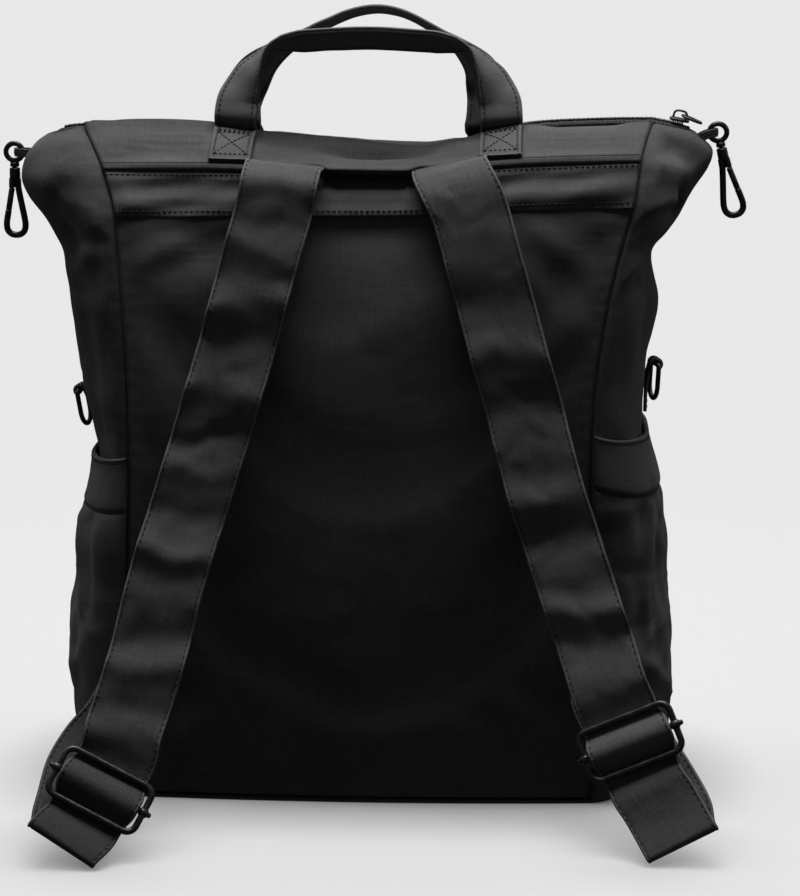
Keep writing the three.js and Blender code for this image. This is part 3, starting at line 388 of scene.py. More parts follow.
class Threads:
    """Collects sewing stitches into one mesh."""

    def __init__(self):
        self.v, self.q, self.t, self.uv = [], [], [], []
        self.count = 0

    def line(self, p, n, pitch=3.3, length=2.5, r=.42, lift=.12):
        p, n = np.asarray(p, float), np.asarray(n, float)
        total = run_of(p)[-1]
        k = max(1, int(round(total / pitch)))
        mid = (np.arange(k) + .5) * total / k
        span = length * (total / k) / pitch
        offs = np.array([-.5, -.22, .22, .5]) * span
        s = (mid[:, None] + offs[None]).ravel()
        q, m = resample(p, np.clip(s, 0, total), [n])
        m = unit(m)
        t = tangents(resample(p, np.linspace(0, total, max(8, 4 * k)))[0])
        t = unit(resample(resample(p, np.linspace(0, total, max(8, 4 * k)))[0], np.clip(s, 0, total), [t])[1])
        b = unit(np.cross(t, m))
        size = np.tile(np.array([.35, 1, 1, .35]) * r, k)
        rise = np.tile(np.array([-.9, .5, .5, -.9]) * r, k) + lift
        ang = np.arange(6) * PI / 3
        ring = (q + m * rise[:, None])[:, None] + size[:, None, None] * (
            np.cos(ang)[None, :, None] * b[:, None] + np.sin(ang)[None, :, None] * m[:, None])
        base = self.count
        self.v.append(ring.reshape(-1, 3))
        uv = np.stack([np.repeat(s, 6), np.tile(ang / (2 * PI), len(s))], -1)
        self.uv.append(uv * .01)
        start = base + np.arange(k) * 24
        i = np.arange(6)
        body = np.concatenate([np.stack([c * 6 + i, c * 6 + (i + 1) % 6, c * 6 + 6 + (i + 1) % 6, c * 6 + 6 + i], -1)
                               for c in range(3)])
        self.q.append((start[:, None, None] + body[None]).reshape(-1, 4))
        caps = np.array([[0, 5, 4, 3], [0, 3, 2, 1], [18, 19, 20, 21], [18, 21, 22, 23]])
        self.q.append((start[:, None, None] + caps[None]).reshape(-1, 4))
        self.count += k * 24

    def build(self, name, material):
        return add_mesh(name, np.concatenate(self.v), [np.concatenate(self.q)], np.concatenate(self.uv), None, material)


def tube_parts(p, r, side, sides=16, ring=False, squash=1.0):
    """Vertices, faces and uv of a round wire along p."""
    p = np.asarray(p, float)
    t = tangents(p, ring)
    b = np.broadcast_to(side, p.shape)
    b = unit(b - t * np.sum(b * t, -1, keepdims=True))
    n = np.cross(t, b)
    r = np.broadcast_to(np.asarray(r, float), (len(p),))
    ang = 2 * PI * np.arange(sides) / sides
    v = p[:, None] + r[:, None, None] * (squash * np.cos(ang)[None, :, None] * b[:, None] + np.sin(ang)[None, :, None] * n[:, None])
    m = len(p)
    if ring:
        v = np.concatenate([v, v[:1]])
        m += 1
    s = run_of(v[:, 0])
    uv = np.stack(np.broadcast_arrays(s[:, None] * MM, (ang * r.mean() * MM)[None]), -1).reshape(-1, 2)
    faces = [grid_faces(m, sides, 0, False, True)]
    verts = v.reshape(-1, 3)
    if ring:
        f = faces[0]
        f[f >= (m - 1) * sides] -= (m - 1) * sides
        verts, uv = verts[:(m - 1) * sides], uv[:(m - 1) * sides]
    else:
        c = len(verts)
        verts = np.concatenate([verts, p[:1], p[-1:]])
        uv = np.concatenate([uv, uv[:1], uv[-1:]])
        i = np.arange(sides)
        j = (i + 1) % sides
        faces.append(np.stack([np.full(sides, c), j, i], -1))
        e = (m - 1) * sides
        faces.append(np.stack([np.full(sides, c + 1), e + i, e + j], -1))
    return verts, faces, uv


class Parts:
    """Joins several solids into one piece."""

    def __init__(self):
        self.v, self.f, self.uv, self.n = [], [], [], 0

    def add(self, verts, faces, uv):
        self.v.append(verts)
        self.f += [np.asarray(f) + self.n for f in faces]
        self.uv.append(uv)
        self.n += len(verts)
        return self

    def tube(self, p, r, side, sides=16, ring=False, squash=1.0):
        return self.add(*tube_parts(p, r, side, sides, ring, squash))

    def capsule(self, a, b, r, side, sides=16, bulge=.9):
        """A bar with domed ends."""
        a, b = np.asarray(a, float), np.asarray(b, float)
        t = unit(b - a)
        k = np.sin(np.linspace(0, PI / 2, 6))
        h = 1 - np.cos(np.linspace(0, PI / 2, 6))
        pts = [a + t * r * bulge * x for x in h] + [b - t * r * bulge * x for x in h[::-1]]
        rad = np.concatenate([np.maximum(k, .05), np.maximum(k[::-1], .05)]) * r
        return self.add(*tube_parts(np.array(pts), rad, side, sides))

    def turned(self, a, axis, profile, side, sides=24):
        """A turned piece: profile rows are (along, radius)."""
        pr = np.array(profile, float)
        pts = np.asarray(a, float) + np.outer(pr[:, 0], unit(np.asarray(axis, float)))
        v, f, uv = tube_parts(np.array(pts), pr[:, 1], side, sides)
        return self.add(v, f, uv)

    def build(self, name, material):
        tri = [f for f in self.f if f.shape[1] == 3]
        quad = [f for f in self.f if f.shape[1] == 4]
        groups = ([np.concatenate(quad)] if quad else []) + ([np.concatenate(tri)] if tri else [])
        return add_mesh(name, np.concatenate(self.v), groups, np.concatenate(self.uv), None, material)


# ------------------------------------------------------------------ materials
def nodes_of(name):
    m = bpy.data.materials.new(name)
    m.use_nodes = True
    nt = m.node_tree
    for n in list(nt.nodes):
        nt.nodes.remove(n)
    out = nt.nodes.new("ShaderNodeOutputMaterial")
    bsdf = nt.nodes.new("ShaderNodeBsdfPrincipled")
    nt.links.new(bsdf.outputs[0], out.inputs[0])

    def node(kind, **kw):
        n = nt.nodes.new(kind)
        for k, v in kw.items():
            if k == "op":
                n.operation = v
            elif k == "ins":
                for i, x in v.items():
                    n.inputs[i].default_value = x
            else:
                setattr(n, k, v)
        return n

    def math_(op, a, b=None, clamp=False):
        n = node("ShaderNodeMath", op=op)
        n.use_clamp = clamp
        for i, x in enumerate((a, b)):
            if x is None:
                continue
            if isinstance(x, (int, float)):
                n.inputs[i].default_value = x
            else:
                nt.links.new(x, n.inputs[i])
        return n.outputs[0]
    return m, nt, bsdf, node, math_


def fabric(name, dark, light, pitch_mm, weave, rough, sheen, fuzz=.5, edge=None, patch=.35, spec=.25):
    """Woven cloth: warp and weft at their own pitch, yarn noise, faded patches, and a per-vertex painted light-and-wear
    term: painted shade in seams, painted highlights on edges, some edge wear.
    """
    m, nt, bsdf, node, math_ = nodes_of(name)
    link = nt.links.new
    uv = node("ShaderNodeUVMap", uv_map="UVMap")
    geo = node("ShaderNodeNewGeometry")
    sep = node("ShaderNodeSeparateXYZ")
    link(uv.outputs[0], sep.inputs[0])
    k = 2 * PI / (pitch_mm * MM)
    # Yarns wander a little.
    wob = node("ShaderNodeTexNoise", ins={"Scale": 900.0, "Detail": 1.0})
    link(uv.outputs[0], wob.inputs["Vector"])
    wv = math_("MULTIPLY", math_("SUBTRACT", wob.outputs[0], .5), 1.6)
    sx = math_("SINE", math_("ADD", math_("MULTIPLY", sep.outputs[0], k), wv))
    sy = math_("SINE", math_("ADD", math_("MULTIPLY", sep.outputs[1], k), wv))
    cx = math_("SINE", math_("MULTIPLY", sep.outputs[0], k / 2))
    cy = math_("SINE", math_("MULTIPLY", sep.outputs[1], k / 2))
    over = math_("MULTIPLY", math_("SIGN", cx), math_("SIGN", cy))
    h = math_("ADD", math_("MULTIPLY", math_("MULTIPLY", sx, sy), .5), math_("MULTIPLY", over, .12))
    # Slubs: streaks along both yarn directions.
    streaks = []
    for sc in ((60, 900, 1), (900, 60, 1)):
        mp = node("ShaderNodeMapping")
        mp.inputs["Scale"].default_value = sc
        link(uv.outputs[0], mp.inputs[0])
        t = node("ShaderNodeTexNoise", ins={"Scale": 1.0, "Detail": 3.0})
        link(mp.outputs[0], t.inputs["Vector"])
        streaks.append(math_("SUBTRACT", t.outputs[0], .5))
    slub = math_("ADD", streaks[0], streaks[1])
    big = node("ShaderNodeTexNoise", ins={"Scale": 14.0, "Detail": 4.0, "Roughness": .55})
    link(geo.outputs["Position"], big.inputs["Vector"])
    lint = node("ShaderNodeTexNoise", ins={"Scale": 420.0, "Detail": 2.0})
    link(geo.outputs["Position"], lint.inputs["Vector"])
    tone = math_("ADD", math_("MULTIPLY", slub, .55), math_("MULTIPLY", math_("SUBTRACT", big.outputs[0], .5), patch * 2))
    tone = math_("ADD", tone, math_("MULTIPLY", h, .18 * weave))
    tone = math_("ADD", tone, math_("MULTIPLY", math_("SUBTRACT", lint.outputs[0], .5), fuzz))
    # edge scales the painted light-and-wear attribute added to the colour: painted shade in seams, painted highlights
    # on edges, with some edge wear.
    if edge is not None:
        wear = node("ShaderNodeAttribute", attribute_name="wear")
        tone = math_("ADD", tone, math_("MULTIPLY", wear.outputs["Fac"], edge))
    tone = math_("ADD", tone, .4, clamp=True)
    ramp = node("ShaderNodeValToRGB")
    ramp.color_ramp.elements[0].color = (*dark, 1)
    ramp.color_ramp.elements[1].color = (*light, 1)
    link(tone, ramp.inputs[0])
    link(ramp.outputs[0], bsdf.inputs["Base Color"])
    rr = math_("ADD", math_("MULTIPLY", math_("SUBTRACT", lint.outputs[0], .5), .2), rough, clamp=True)
    link(rr, bsdf.inputs["Roughness"])
    bsdf.inputs["Specular IOR Level"].default_value = spec
    bsdf.inputs["Sheen Weight"].default_value = sheen
    bsdf.inputs["Sheen Roughness"].default_value = .45
    bsdf.inputs["Sheen Tint"].default_value = (.8, .8, .82, 1)
    bump = node("ShaderNodeBump", ins={"Strength": .55 * weave, "Distance": pitch_mm * MM * .22})
    link(math_("ADD", h, math_("MULTIPLY", slub, .9)), bump.inputs["Height"])
    soft = node("ShaderNodeBump", ins={"Strength": .35, "Distance": .0012})
    mid = node("ShaderNodeTexNoise", ins={"Scale": 95.0, "Detail": 3.0})
    link(geo.outputs["Position"], mid.inputs["Vector"])
    link(mid.outputs[0], soft.inputs["Height"])
    link(bump.outputs[0], soft.inputs["Normal"])
    link(soft.outputs[0], bsdf.inputs["Normal"])
    return m


def coated_metal(name, colour, rough, chips=.5):
    """Satin black coating with a faint grain and lighter rubbed places."""
    m, nt, bsdf, node, math_ = nodes_of(name)
    link = nt.links.new
    geo = node("ShaderNodeNewGeometry")
    a = node("ShaderNodeTexNoise", ins={"Scale": 260.0, "Detail": 4.0})
    b = node("ShaderNodeTexNoise", ins={"Scale": 1500.0, "Detail": 2.0})
    for t in (a, b):
        link(geo.outputs["Position"], t.inputs["Vector"])
    point = math_("SUBTRACT", geo.outputs["Pointiness"], .5)
    rub = math_("MULTIPLY", math_("ADD", math_("MULTIPLY", point, 3.0), math_("SUBTRACT", a.outputs[0], .52)), 2.2 * chips, clamp=True)
    ramp = node("ShaderNodeValToRGB")
    ramp.color_ramp.elements[0].color = (*colour, 1)
    ramp.color_ramp.elements[1].color = (*[c * 4 + .02 for c in colour], 1)
    link(rub, ramp.inputs[0])
    link(ramp.outputs[0], bsdf.inputs["Base Color"])
    link(math_("ADD", math_("MULTIPLY", math_("SUBTRACT", a.outputs[0], .5), .25), rough, clamp=True), bsdf.inputs["Roughness"])
    bsdf.inputs["Metallic"].default_value = .55
    bsdf.inputs["Specular IOR Level"].default_value = .5
    bump = node("ShaderNodeBump", ins={"Strength": .12, "Distance": .0002})
    link(b.outputs[0], bump.inputs["Height"])
    link(bump.outputs[0], bsdf.inputs["Normal"])
    return m


CANVAS = fabric("canvas", (.036, .036, .0366), (.094, .094, .0956), 1.15, 1.0, .90, .05, edge=.45)
WEBBING = fabric("webbing", (.040, .040, .0406), (.110, .110, .1118), 1.2, 1.0, .88, .05, edge=.8)
HANDLE = fabric("handle_canvas", (.047, .047, .0477), (.097, .097, .0986), .9, .45, .72, .04, fuzz=.3, edge=.6, patch=.2, spec=.3)
TAPE = fabric("zip_tape", (.010, .010, .0102), (.034, .034, .0346), .7, 1.0, .85, .02)
THREAD = fabric("thread", (.014, .014, .0142), (.044, .044, .0447), .5, .6, .7, .02, spec=.3)
METAL = coated_metal("black_hardware", (.022, .022, .0225), .36)
ZIPMETAL = coated_metal("black_zip", (.022, .022, .0225), .42)

PIECES = {}


def placed(ob, body="bag", nodes=()):
    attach(ob, body)
    if nodes:
        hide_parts(*nodes)
    PIECES[ob.name] = ob
    return ob


# ------------------------------------------------------------------ the stuffed body settles
NB, NG = 46, 28


def settle():
    """Runs the sewn body as cloth: a little too much fabric, held at its seams and edges, pushed out by the
    load and pulled down by its weight. Gives how far each place moves along its normal, mm."""
    probe = np.linspace(0, TOP_ROW, 800)
    far = run_of(panel(-1, np.full(800, .5), probe))
    vs = np.interp(np.linspace(0, far[-1], 86), far, probe)
    nv = len(vs)
    ub, ug = np.arange(NB) / NB, np.arange(NG) / NG
    rows = [np.concatenate([panel(-1, ub, np.full(NB, v)), gusset("right", -1 + 2 * ug, np.full(NG, v)),
                            panel(1, 1 - ub, np.full(NB, v)), gusset("left", 1 - 2 * ug, np.full(NG, v))]) for v in vs]
    P = np.array(rows)
    nu = P.shape[1]
    du = np.roll(P, -1, 1) - np.roll(P, 1, 1)
    dv = np.gradient(P, axis=0)
    N = unit(np.cross(du, dv))
    if N[nv // 2, NB // 2, 1] > 0:
        N = -N
    ob = add_mesh("settling_body", P.reshape(-1, 3), [grid_faces(nv, nu, 0, False, True)])
    hold = np.zeros((nv, nu))
    hold[0] = hold[-1] = 1
    hold[1] = hold[-2] = .6
    for c in (0, NB, NB + NG, 2 * NB + NG):
        hold[:, c] = np.maximum(hold[:, c], .55)
    group = ob.vertex_groups.new(name="held")
    for level in np.unique(hold):
        if level > 0:
            group.add([int(i) for i in np.flatnonzero(hold.ravel() == level)], float(level), "REPLACE")
    mod = ob.modifiers.new("settle", "CLOTH")
    cs = mod.settings
    cs.quality = 5
    cs.mass = .25
    cs.tension_stiffness, cs.compression_stiffness, cs.shear_stiffness, cs.bending_stiffness = 14, 14, 5, 4.0
    cs.tension_damping, cs.compression_damping, cs.shear_damping, cs.bending_damping = 8, 8, 5, .5
    cs.air_damping = 3
    cs.vertex_group_mass = "held"
    cs.shrink_min = -.03
    cs.use_pressure = True
    cs.uniform_pressure_force = .25
    cs.effector_weights.gravity = .12
    mod.collision_settings.use_collision = False
    mod.point_cache.frame_start, mod.point_cache.frame_end = 1, 26
    scene = bpy.context.scene
    for f in range(1, 27):
        scene.frame_set(f)
    ev = ob.evaluated_get(bpy.context.evaluated_depsgraph_get())
    co = np.empty(nv * nu * 3, np.float32)
    ev.data.vertices.foreach_get("co", co)
    moved = (co.reshape(nv, nu, 3) / MM - P)
    d = np.sum(moved * N, -1)
    me = ob.data
    bpy.data.objects.remove(ob)
    bpy.data.meshes.remove(me)
    scene.frame_set(1)
    d = np.nan_to_num(d, nan=0.0, posinf=0.0, neginf=0.0)
    print("settled body: moves", round(float(d.min()), 2), "to", round(float(d.max()), 2), "mm")
    # The outline stays as it is drawn: only the folds are kept, not the swelling.
    low = d.copy()
    for _ in range(3):
        low = sum(np.roll(low, k, 1) for k in range(-5, 6)) / 11
        pad = np.concatenate([np.repeat(low[:1], 5, 0), low, np.repeat(low[-1:], 5, 0)])
        low = sum(pad[k:k + nv] for k in range(11)) / 11
    d = d - .85 * low
    for _ in range(2):
        d = .5 * d + .25 * (np.roll(d, 1, 1) + np.roll(d, -1, 1))
        d[1:-1] = .5 * d[1:-1] + .25 * (d[2:] + d[:-2])
    d = 4.0 * np.tanh(d / 4.0)
    ring = np.concatenate([d, d[:, :1]], 1)
    a, b, c = NB, NB + NG, 2 * NB + NG
    return vs, {"back": ring[:, :a + 1], "right": ring[:, a:b + 1], "front": ring[:, b:c + 1][:, ::-1], "left": ring[:, c:][:, ::-1]}


SETTLED = settle()


def puff(kind, u, v):
    """Folds of the settled cloth at share u (0 to 1 across) and row v, mm outwards."""
    if SETTLED is None:
        return 0 * u
    vs, tabs = SETTLED
    d = tabs[kind]
    fi = np.interp(v, vs, np.arange(len(vs)))
    fj = np.clip(u, 0, 1) * (d.shape[1] - 1)
    i, j = np.minimum(fi.astype(int), d.shape[0] - 2), np.minimum(fj.astype(int), d.shape[1] - 2)
    a, b = fi - i, fj - j
    a, b = a * a * (3 - 2 * a), b * b * (3 - 2 * b)
    return (d[i, j] * (1 - b) + d[i, j + 1] * b) * (1 - a) + (d[i + 1, j] * (1 - b) + d[i + 1, j + 1] * b) * a


def stroke(P, pts, wide, depth):
    """A fold along a line of points: how far it moves each place, mm."""
    best = np.full(P.shape[:-1], 1e9)
    for a, b in zip(pts[:-1], pts[1:]):
        ab = b - a
        t = np.clip(((P - a) @ ab) / max(ab @ ab, 1e-9), 0, 1)
        best = np.minimum(best, np.linalg.norm(P - (a + t[..., None] * ab), axis=-1))
    return depth * np.exp(-(best / wide) ** 2)


# ------------------------------------------------------------------ body panels
SEAMS = Threads()


def panel_folds(d, u, v, x, z):
    """Extra cloth relief on the back (d < 0) or front panel, mm outwards."""
    seed = 3 if d < 0 else 41
    slack = .55 + .45 * fbm(x / 140, z / 140, seed, 2)
    out = .8 * crumple(x, z, 58, seed) * slack + .4 * crumple(x, z, 27, seed + 2) * slack
    out = out + 1.2 * fbm(x / 95, z / 120, seed + 7, 3)
    # Pulled corners at the foot and the yoke.
    for cx, cz, dx, dz, size in ((-120, 30, 60, 46, 1.6), (118, 34, 60, 46, 1.6), (-110, 340, 60, 40, 1.4), (112, 345, 60, 40, 1.4)):
        w = np.exp(-((x - cx) / dx) ** 2 - ((z - cz) / dz) ** 2)
        out = out + size * w * np.sin((x - cx) * .11 * np.sign(cx) + (z - cz) * .13 + noise(x / 40, z / 40, 5) * 1.4)
    return out


def panel_piece(name, d, lo, hi, nu, nv, lift=0.0, rolls=(2.4, 2.4, 2.4, 2.4), rows=(), relief=1.0, extra=None, push=None, still=()):
    """rolls: how far the left, right, lower and upper edges turn in. rows: sewn lines, mm below the upper edge.
    still: x of places that are sewn flat."""
    key = "back" if d < 0 else "front"
    mid = panel(d, np.full(60, .5), np.linspace(lo, hi, 60))
    height = run_of(mid)[-1]
    width = 300.0
    vs = spread_lines(lo, hi, nv, height, [hi - r / height * (hi - lo) for r in rows])
    us = spread_lines(.0006, .9994, nu, width)
    U, W = np.meshgrid(us, vs)
    P, N = with_normal(lambda u, v: panel(d, u, v), U, W, V(0, d, 0))
    x, z = P[..., 0], P[..., 2]
    across = np.linalg.norm(P[:, -1] - P[:, 0], axis=-1)[:, None]
    dl, dr = U * across, (1 - U) * across
    seg = np.concatenate([np.zeros((1, P.shape[1])), np.cumsum(np.linalg.norm(np.diff(P, axis=0), axis=-1), 0)])
    db, dt = seg, seg[-1:] - seg
    near = np.minimum(np.minimum(dl, dr), np.minimum(db, dt))
    free = smooth(near, 1, 16 if height > 60 else 9)
    for c in still:
        free = free * (1 - .9 * (1 - smooth(np.abs(x - c), 13, 22)))
    loose = smooth(z, 8, 60)
    disp = (relief * panel_folds(d, U, W, x, z) + relief * .7 * puff(key, U, W) * loose) * free + lift
    if extra is not None:
        disp = disp + extra(U, W, x, z, db, dt)
    for dist, r in zip((dl, dr, db, dt), rolls):
        if r:
            disp = disp - roll(dist, r)
    for r in rows:
        disp = disp + groove(dt - r, .9, .9)
    # Puckers along the sewn side edges.
    for dist in (dl, dr):
        disp = disp + .13 * np.exp(-((dist - 4.5) / 3.8) ** 2) * np.sin(z * .62 + 3 * noise(z / 30, 0 * z, 9))
    shove = push(x, z, db, dt) if push is not None else 0
    outer = P + N * disp[..., None] + shove
    inner = P + N * (np.minimum(disp, 0) - CLOTH)[..., None] + shove
    uv = np.stack([x * MM, seg * MM + P[0, 0, 2] * MM], -1)
    # Painted shade: the colour is darkened along the seams at the panel's edges and along the sewn rows, where shade
    # falls in the seam.
    wear = -np.exp(-(near / 1.5) ** 2)
    for r in rows:
        wear = np.minimum(wear, -np.exp(-((dt - r) / 1.1) ** 2))
    ob = shell_piece(name, outer, inner, uv, {"wear": wear}, CANVAS, d > 0)
    return ob, (P, N, outer, us, vs, dl, dr, db, dt)


def row_line(grid, r):
    """The line on a panel r mm below its upper edge."""
    P, N, outer, us, vs, dl, dr, db, dt = grid
    j = np.argmin(np.abs(dt[:, dt.shape[1] // 2] - r))
    return outer[j], N[j]


def ledge(x, z, db, dt):
    """Between the straps their weight pulls the band's lower edge out into a lip; its upper edge is a soft roll that
    covers the zip, all but at the right."""
    w = smooth(x, -29, -20) * (1 - smooth(x, 25, 34))
    lip = 8.5 * w * np.exp(-(db / 8.0) ** 2)
    crest = (1 - smooth(x, 74, 108)) * np.exp(-(dt / 5.5) ** 2) * (2.6 + 1.8 * np.exp(-((x + 112) / 42) ** 2) - 1.0 * np.exp(-((x + 165) / 12) ** 2))
    sink = smooth(x, 98, 118) * (1 - smooth(x, 146, 162)) * np.exp(-(dt / 7.0) ** 2) * 2.2
    return np.stack([0 * x, -lip, -.12 * lip + crest - sink], -1)


def band_hollow(U, W, x, z, db, dt):
    """The band's own edge over the seam, and the hollow between the handles."""
    out = .8 * np.exp(-(db / 3.0) ** 2)
    out = out - 7.5 * np.exp(-((x - 4) / 31) ** 2 - ((dt - 15 + .05 * x) / 6.0) ** 2)
    out = out - 2.0 * np.exp(-((x + 48) / 22) ** 2 - ((dt - 12) / 6) ** 2)
    out = out + 2.2 * np.exp(-((x - 52) / 18) ** 2 - ((dt - 12 - .2 * (x - 52)) / 7) ** 2)
    return out


def yoke_hollow(U, W, x, z, db, dt):
    w = smooth(x, -34, -24) * (1 - smooth(x, 30, 40))
    out = -6.0 * w * np.exp(-((dt - 2) / 9.5) ** 2)
    # A pleat lies along the seam, and the straps drag soft folds across the yoke.
    out = out + 1.0 * (1 - w) * (1 - smooth(dt, 4.3, 5.1))
    for cx, size in ((-70, 1.7), (-118, 1.5), (86, 1.7), (128, 1.5)):
        out = out + size * np.exp(-((x - cx) / 30) ** 2) * np.sin(dt * .33 + (x - cx) * .05) * smooth(dt, 6, 11)
    return out


ob, g_back = panel_piece("back_panel_cloth", -1, 0, YOKE_ROW - .014, 130, 170, rolls=(2.6, 2.6, 3.0, 1.4), relief=.55)
placed(ob, "bag", ["back_panel"])
ob, g_yoke = panel_piece("back_yoke_cloth", -1, YOKE_ROW - .1, SEAM_ROW - .02, 150, 34, lift=2.0, rolls=(2.4, 2.4, 1.3, 1.5), rows=(4.8,), relief=.6, extra=yoke_hollow)
placed(ob, "bag", ["back_yoke"])
ob, g_band = panel_piece("top_band_back_cloth", -1, SEAM_ROW - .03, TOP_ROW, 170, 40, lift=1.1, rolls=(2.4, 2.4, 1.3, 1.6), relief=.45, extra=band_hollow, push=ledge, still=(-81, 81))
placed(ob, "bag", ["top_band_back"])
ob, g_front = panel_piece("front_panel_cloth", 1, 0, SEAM_ROW - .02, 120, 160, rolls=(2.6, 2.6, 3.0, 2.2), rows=(4.8,), relief=.8)
placed(ob, "bag", ["front_panel"])
ob, g_fband = panel_piece("top_band_front_cloth", 1, SEAM_ROW - .03, TOP_ROW, 150, 40, lift=1.1, rolls=(2.4, 2.4, 1.7, 1.4), relief=.7, still=(-81, 71))
placed(ob, "bag", ["top_band_front"])
SEAMS.line(*row_line(g_yoke, 6.4))
SEAMS.line(g_yoke[2][7], g_yoke[1][7])
SEAMS.line(*row_line(g_front, 6.4))


def gusset_folds(side, u, v, y, z):
    seed = 71 if side == "left" else 97
    slack = .6 + .5 * fbm(y / 90, z / 110, seed, 2)
    low = smooth(v, .6, 2.0)
    out = (1.0 * crumple(y, z, 46, seed) + .5 * crumple(y, z, 22, seed + 3)) * slack * (.55 + .45 * low)
    # Folds that run from the waist up into the wing.
    top = smooth(v, 6.2, 8.5) * (1 - smooth(v, 10.6, 11.8))
    out = out + 1.6 * top * np.sin(y * .105 + .9 * np.sin(z * .035) + (1.2 if side == "left" else 0)) * (1 - smooth(np.abs(u), .75, .97))
    waist = np.exp(-((v - 7.2) / .9) ** 2)
    out = out + 1.0 * waist * np.sin(z * .24 + y * .06 + noise(y / 30, z / 30, seed) * 1.2)
    return out


# Creases of the wings: places (share, row), breadth, depth outwards.
WING_FOLDS = {
    "right": [
        ([(-.98, 7.42), (-.81, 7.75), (-.56, 8.18), (-.25, 8.42)], 4.5, -4.2), ([(-.98, 7.75), (-.8, 8.05), (-.5, 8.55)], 7, 2.8),
        ([(-.42, 8.93), (-.25, 8.4)], 5, -3.2), ([(-.97, 6.42), (-.64, 6.9), (-.47, 7.48)], 6, 3.4), ([(-.95, 6.1), (-.6, 6.55)], 6, -2.4),
        ([(-.74, 10.9), (-.5, 10.5)], 12, -5.0), ([(-.84, 9.8), (-.92, 8.6)], 6, 2.8),
        ([(.9, 7.6), (.6, 8.1), (.3, 8.5)], 5, -3.6), ([(.9, 6.6), (.5, 7.2)], 7, 2.8), ([(.8, 10.4), (.5, 9.6)], 8, -3.0)],
    "left": [
        ([(-.66, 9.4), (-.51, 8.78)], 8, -1.9), ([(-.7, 9.95), (-.52, 9.35)], 10, 1.5), ([(-.79, 7.8), (-.7, 7.2)], 10, 1.6),
        ([(-.95, 7.15), (-.75, 7.5)], 9, -1.4), ([(-.6, 8.3), (-.75, 7.9)], 8, -1.0), ([(-.5, 10.9), (-.2, 10.3)], 11, -1.6),
        ([(.9, 7.4), (.6, 8.0)], 7, -2.2), ([(.85, 9.0), (.5, 8.5)], 9, 1.8), ([(.75, 10.3), (.4, 9.8)], 10, -1.8)],
}


def gusset_piece(side):
    vs = spread_lines(0, TOP_ROW, 190, 440)
    us = spread_lines(-.998, .998, 100, 190)
    U, W = np.meshgrid(us, vs)
    P, N = with_normal(lambda u, v: gusset(side, u, v), U, W, V(OUT[side], 0, 0), eu=4e-3, ev=2e-2)
    y, z = P[..., 1], P[..., 2]
    sv = np.concatenate([np.zeros((P.shape[0], 1)), np.cumsum(np.linalg.norm(np.diff(P, axis=1), axis=-1), 1)], 1)
    su = np.concatenate([np.zeros((1, P.shape[1])), np.cumsum(np.linalg.norm(np.diff(P, axis=0), axis=-1), 0)])
    dl, dr = sv, sv[:, -1:] - sv
    db, dt = su, su[-1:] - su
    near = np.minimum(np.minimum(dl, dr), np.minimum(db, dt))
    disp = .6 * gusset_folds(side, U, W, y, z) + .55 * puff(side, (U + 1) / 2, W)
    for pts, wide, depth in WING_FOLDS[side]:
        disp = disp + stroke(P, [gusset(side, np.array(a), np.array(b)) for a, b in pts], wide, depth)
    # It lies flat under the pocket, and where the ring's strip is sewn on.
    rx, rz, _, _, foot = SIDE_RINGS[side]
    under = 1 - smooth(W, POCKET_TOP[side] - .25, POCKET_TOP[side] + .35)
    strip = (1 - smooth(np.abs(y), 7, 18)) * smooth(z, foot - 12, foot) * (1 - smooth(z, rz + 2, rz + 16))
    disp = disp * (1 - .85 * under) * (1 - .92 * strip)
    disp = disp * smooth(near, 1, 16) - dent(side, U, W) * smooth(near, 0, 10)
    # It leaves room for the snap hook that hangs beside it.
    hz = HOOKS[side][2]
    beside = np.exp(-(y / 7) ** 2) * smooth(z, hz - 52, hz - 38) * (1 - smooth(z, hz + 2, hz + 9))
    disp = disp - beside * (np.maximum(disp, 0) + 1.9)
    for dist, r in ((dl, 2.6), (dr, 2.6), (db, 3.0), (dt, 1.2)):
        disp = disp - roll(dist, r)
    for dist in (dl, dr):
        disp = disp + .13 * np.exp(-((dist - 4.5) / 3.8) ** 2) * np.sin(z * .58 + 3 * noise(z / 28, 0 * z, 19))
    outer = P + N * disp[..., None]
    inner = P + N * (np.minimum(disp, 0) - CLOTH)[..., None]
    uv = np.stack([sv * MM, su * MM], -1)
    # Painted shade along the seams at the gusset's edges.
    wear = -np.exp(-(near / 1.5) ** 2)
    # Painted shade: the left gusset is darker below its wing, where less light falls.
    if side == "left":
        wear = wear - .45 * (1 - smooth(P[..., 2], 330, 370))
    ob = shell_piece(f"{side}_gusset_cloth", outer, inner, uv, {"wear": wear}, CANVAS, side == "right")
    placed(ob, "bag", [f"{side}_gusset"])
    return P, N, outer, us, vs, dl, dr, db, dt


GUSSETS = {s: gusset_piece(s) for s in ("left", "right")}

# Seam allowances: the turned-in edges of panel and gusset, bound together inside each seam.
binding = Parts()
for side in ("left", "right"):
    for d, u in ((-1, -1.0), (1, 1.0)):
        vv = np.linspace(.05, 11.5, 150)
        q = gusset(side, np.full(150, u), vv) + V(-OUT[side] * .6, -d * .8, 0) * 3.1
        binding.tube(q, 2.1 * (1 - .5 * smooth(vv, 10.5, 11.5)), V(0, 0, 1) + V(.3, 0, 0), 10)
placed(binding.build("seam_binding", CANVAS), "bag", ())

# Side pockets: hem, gathers under it, fullness below.
HEM = 31.0
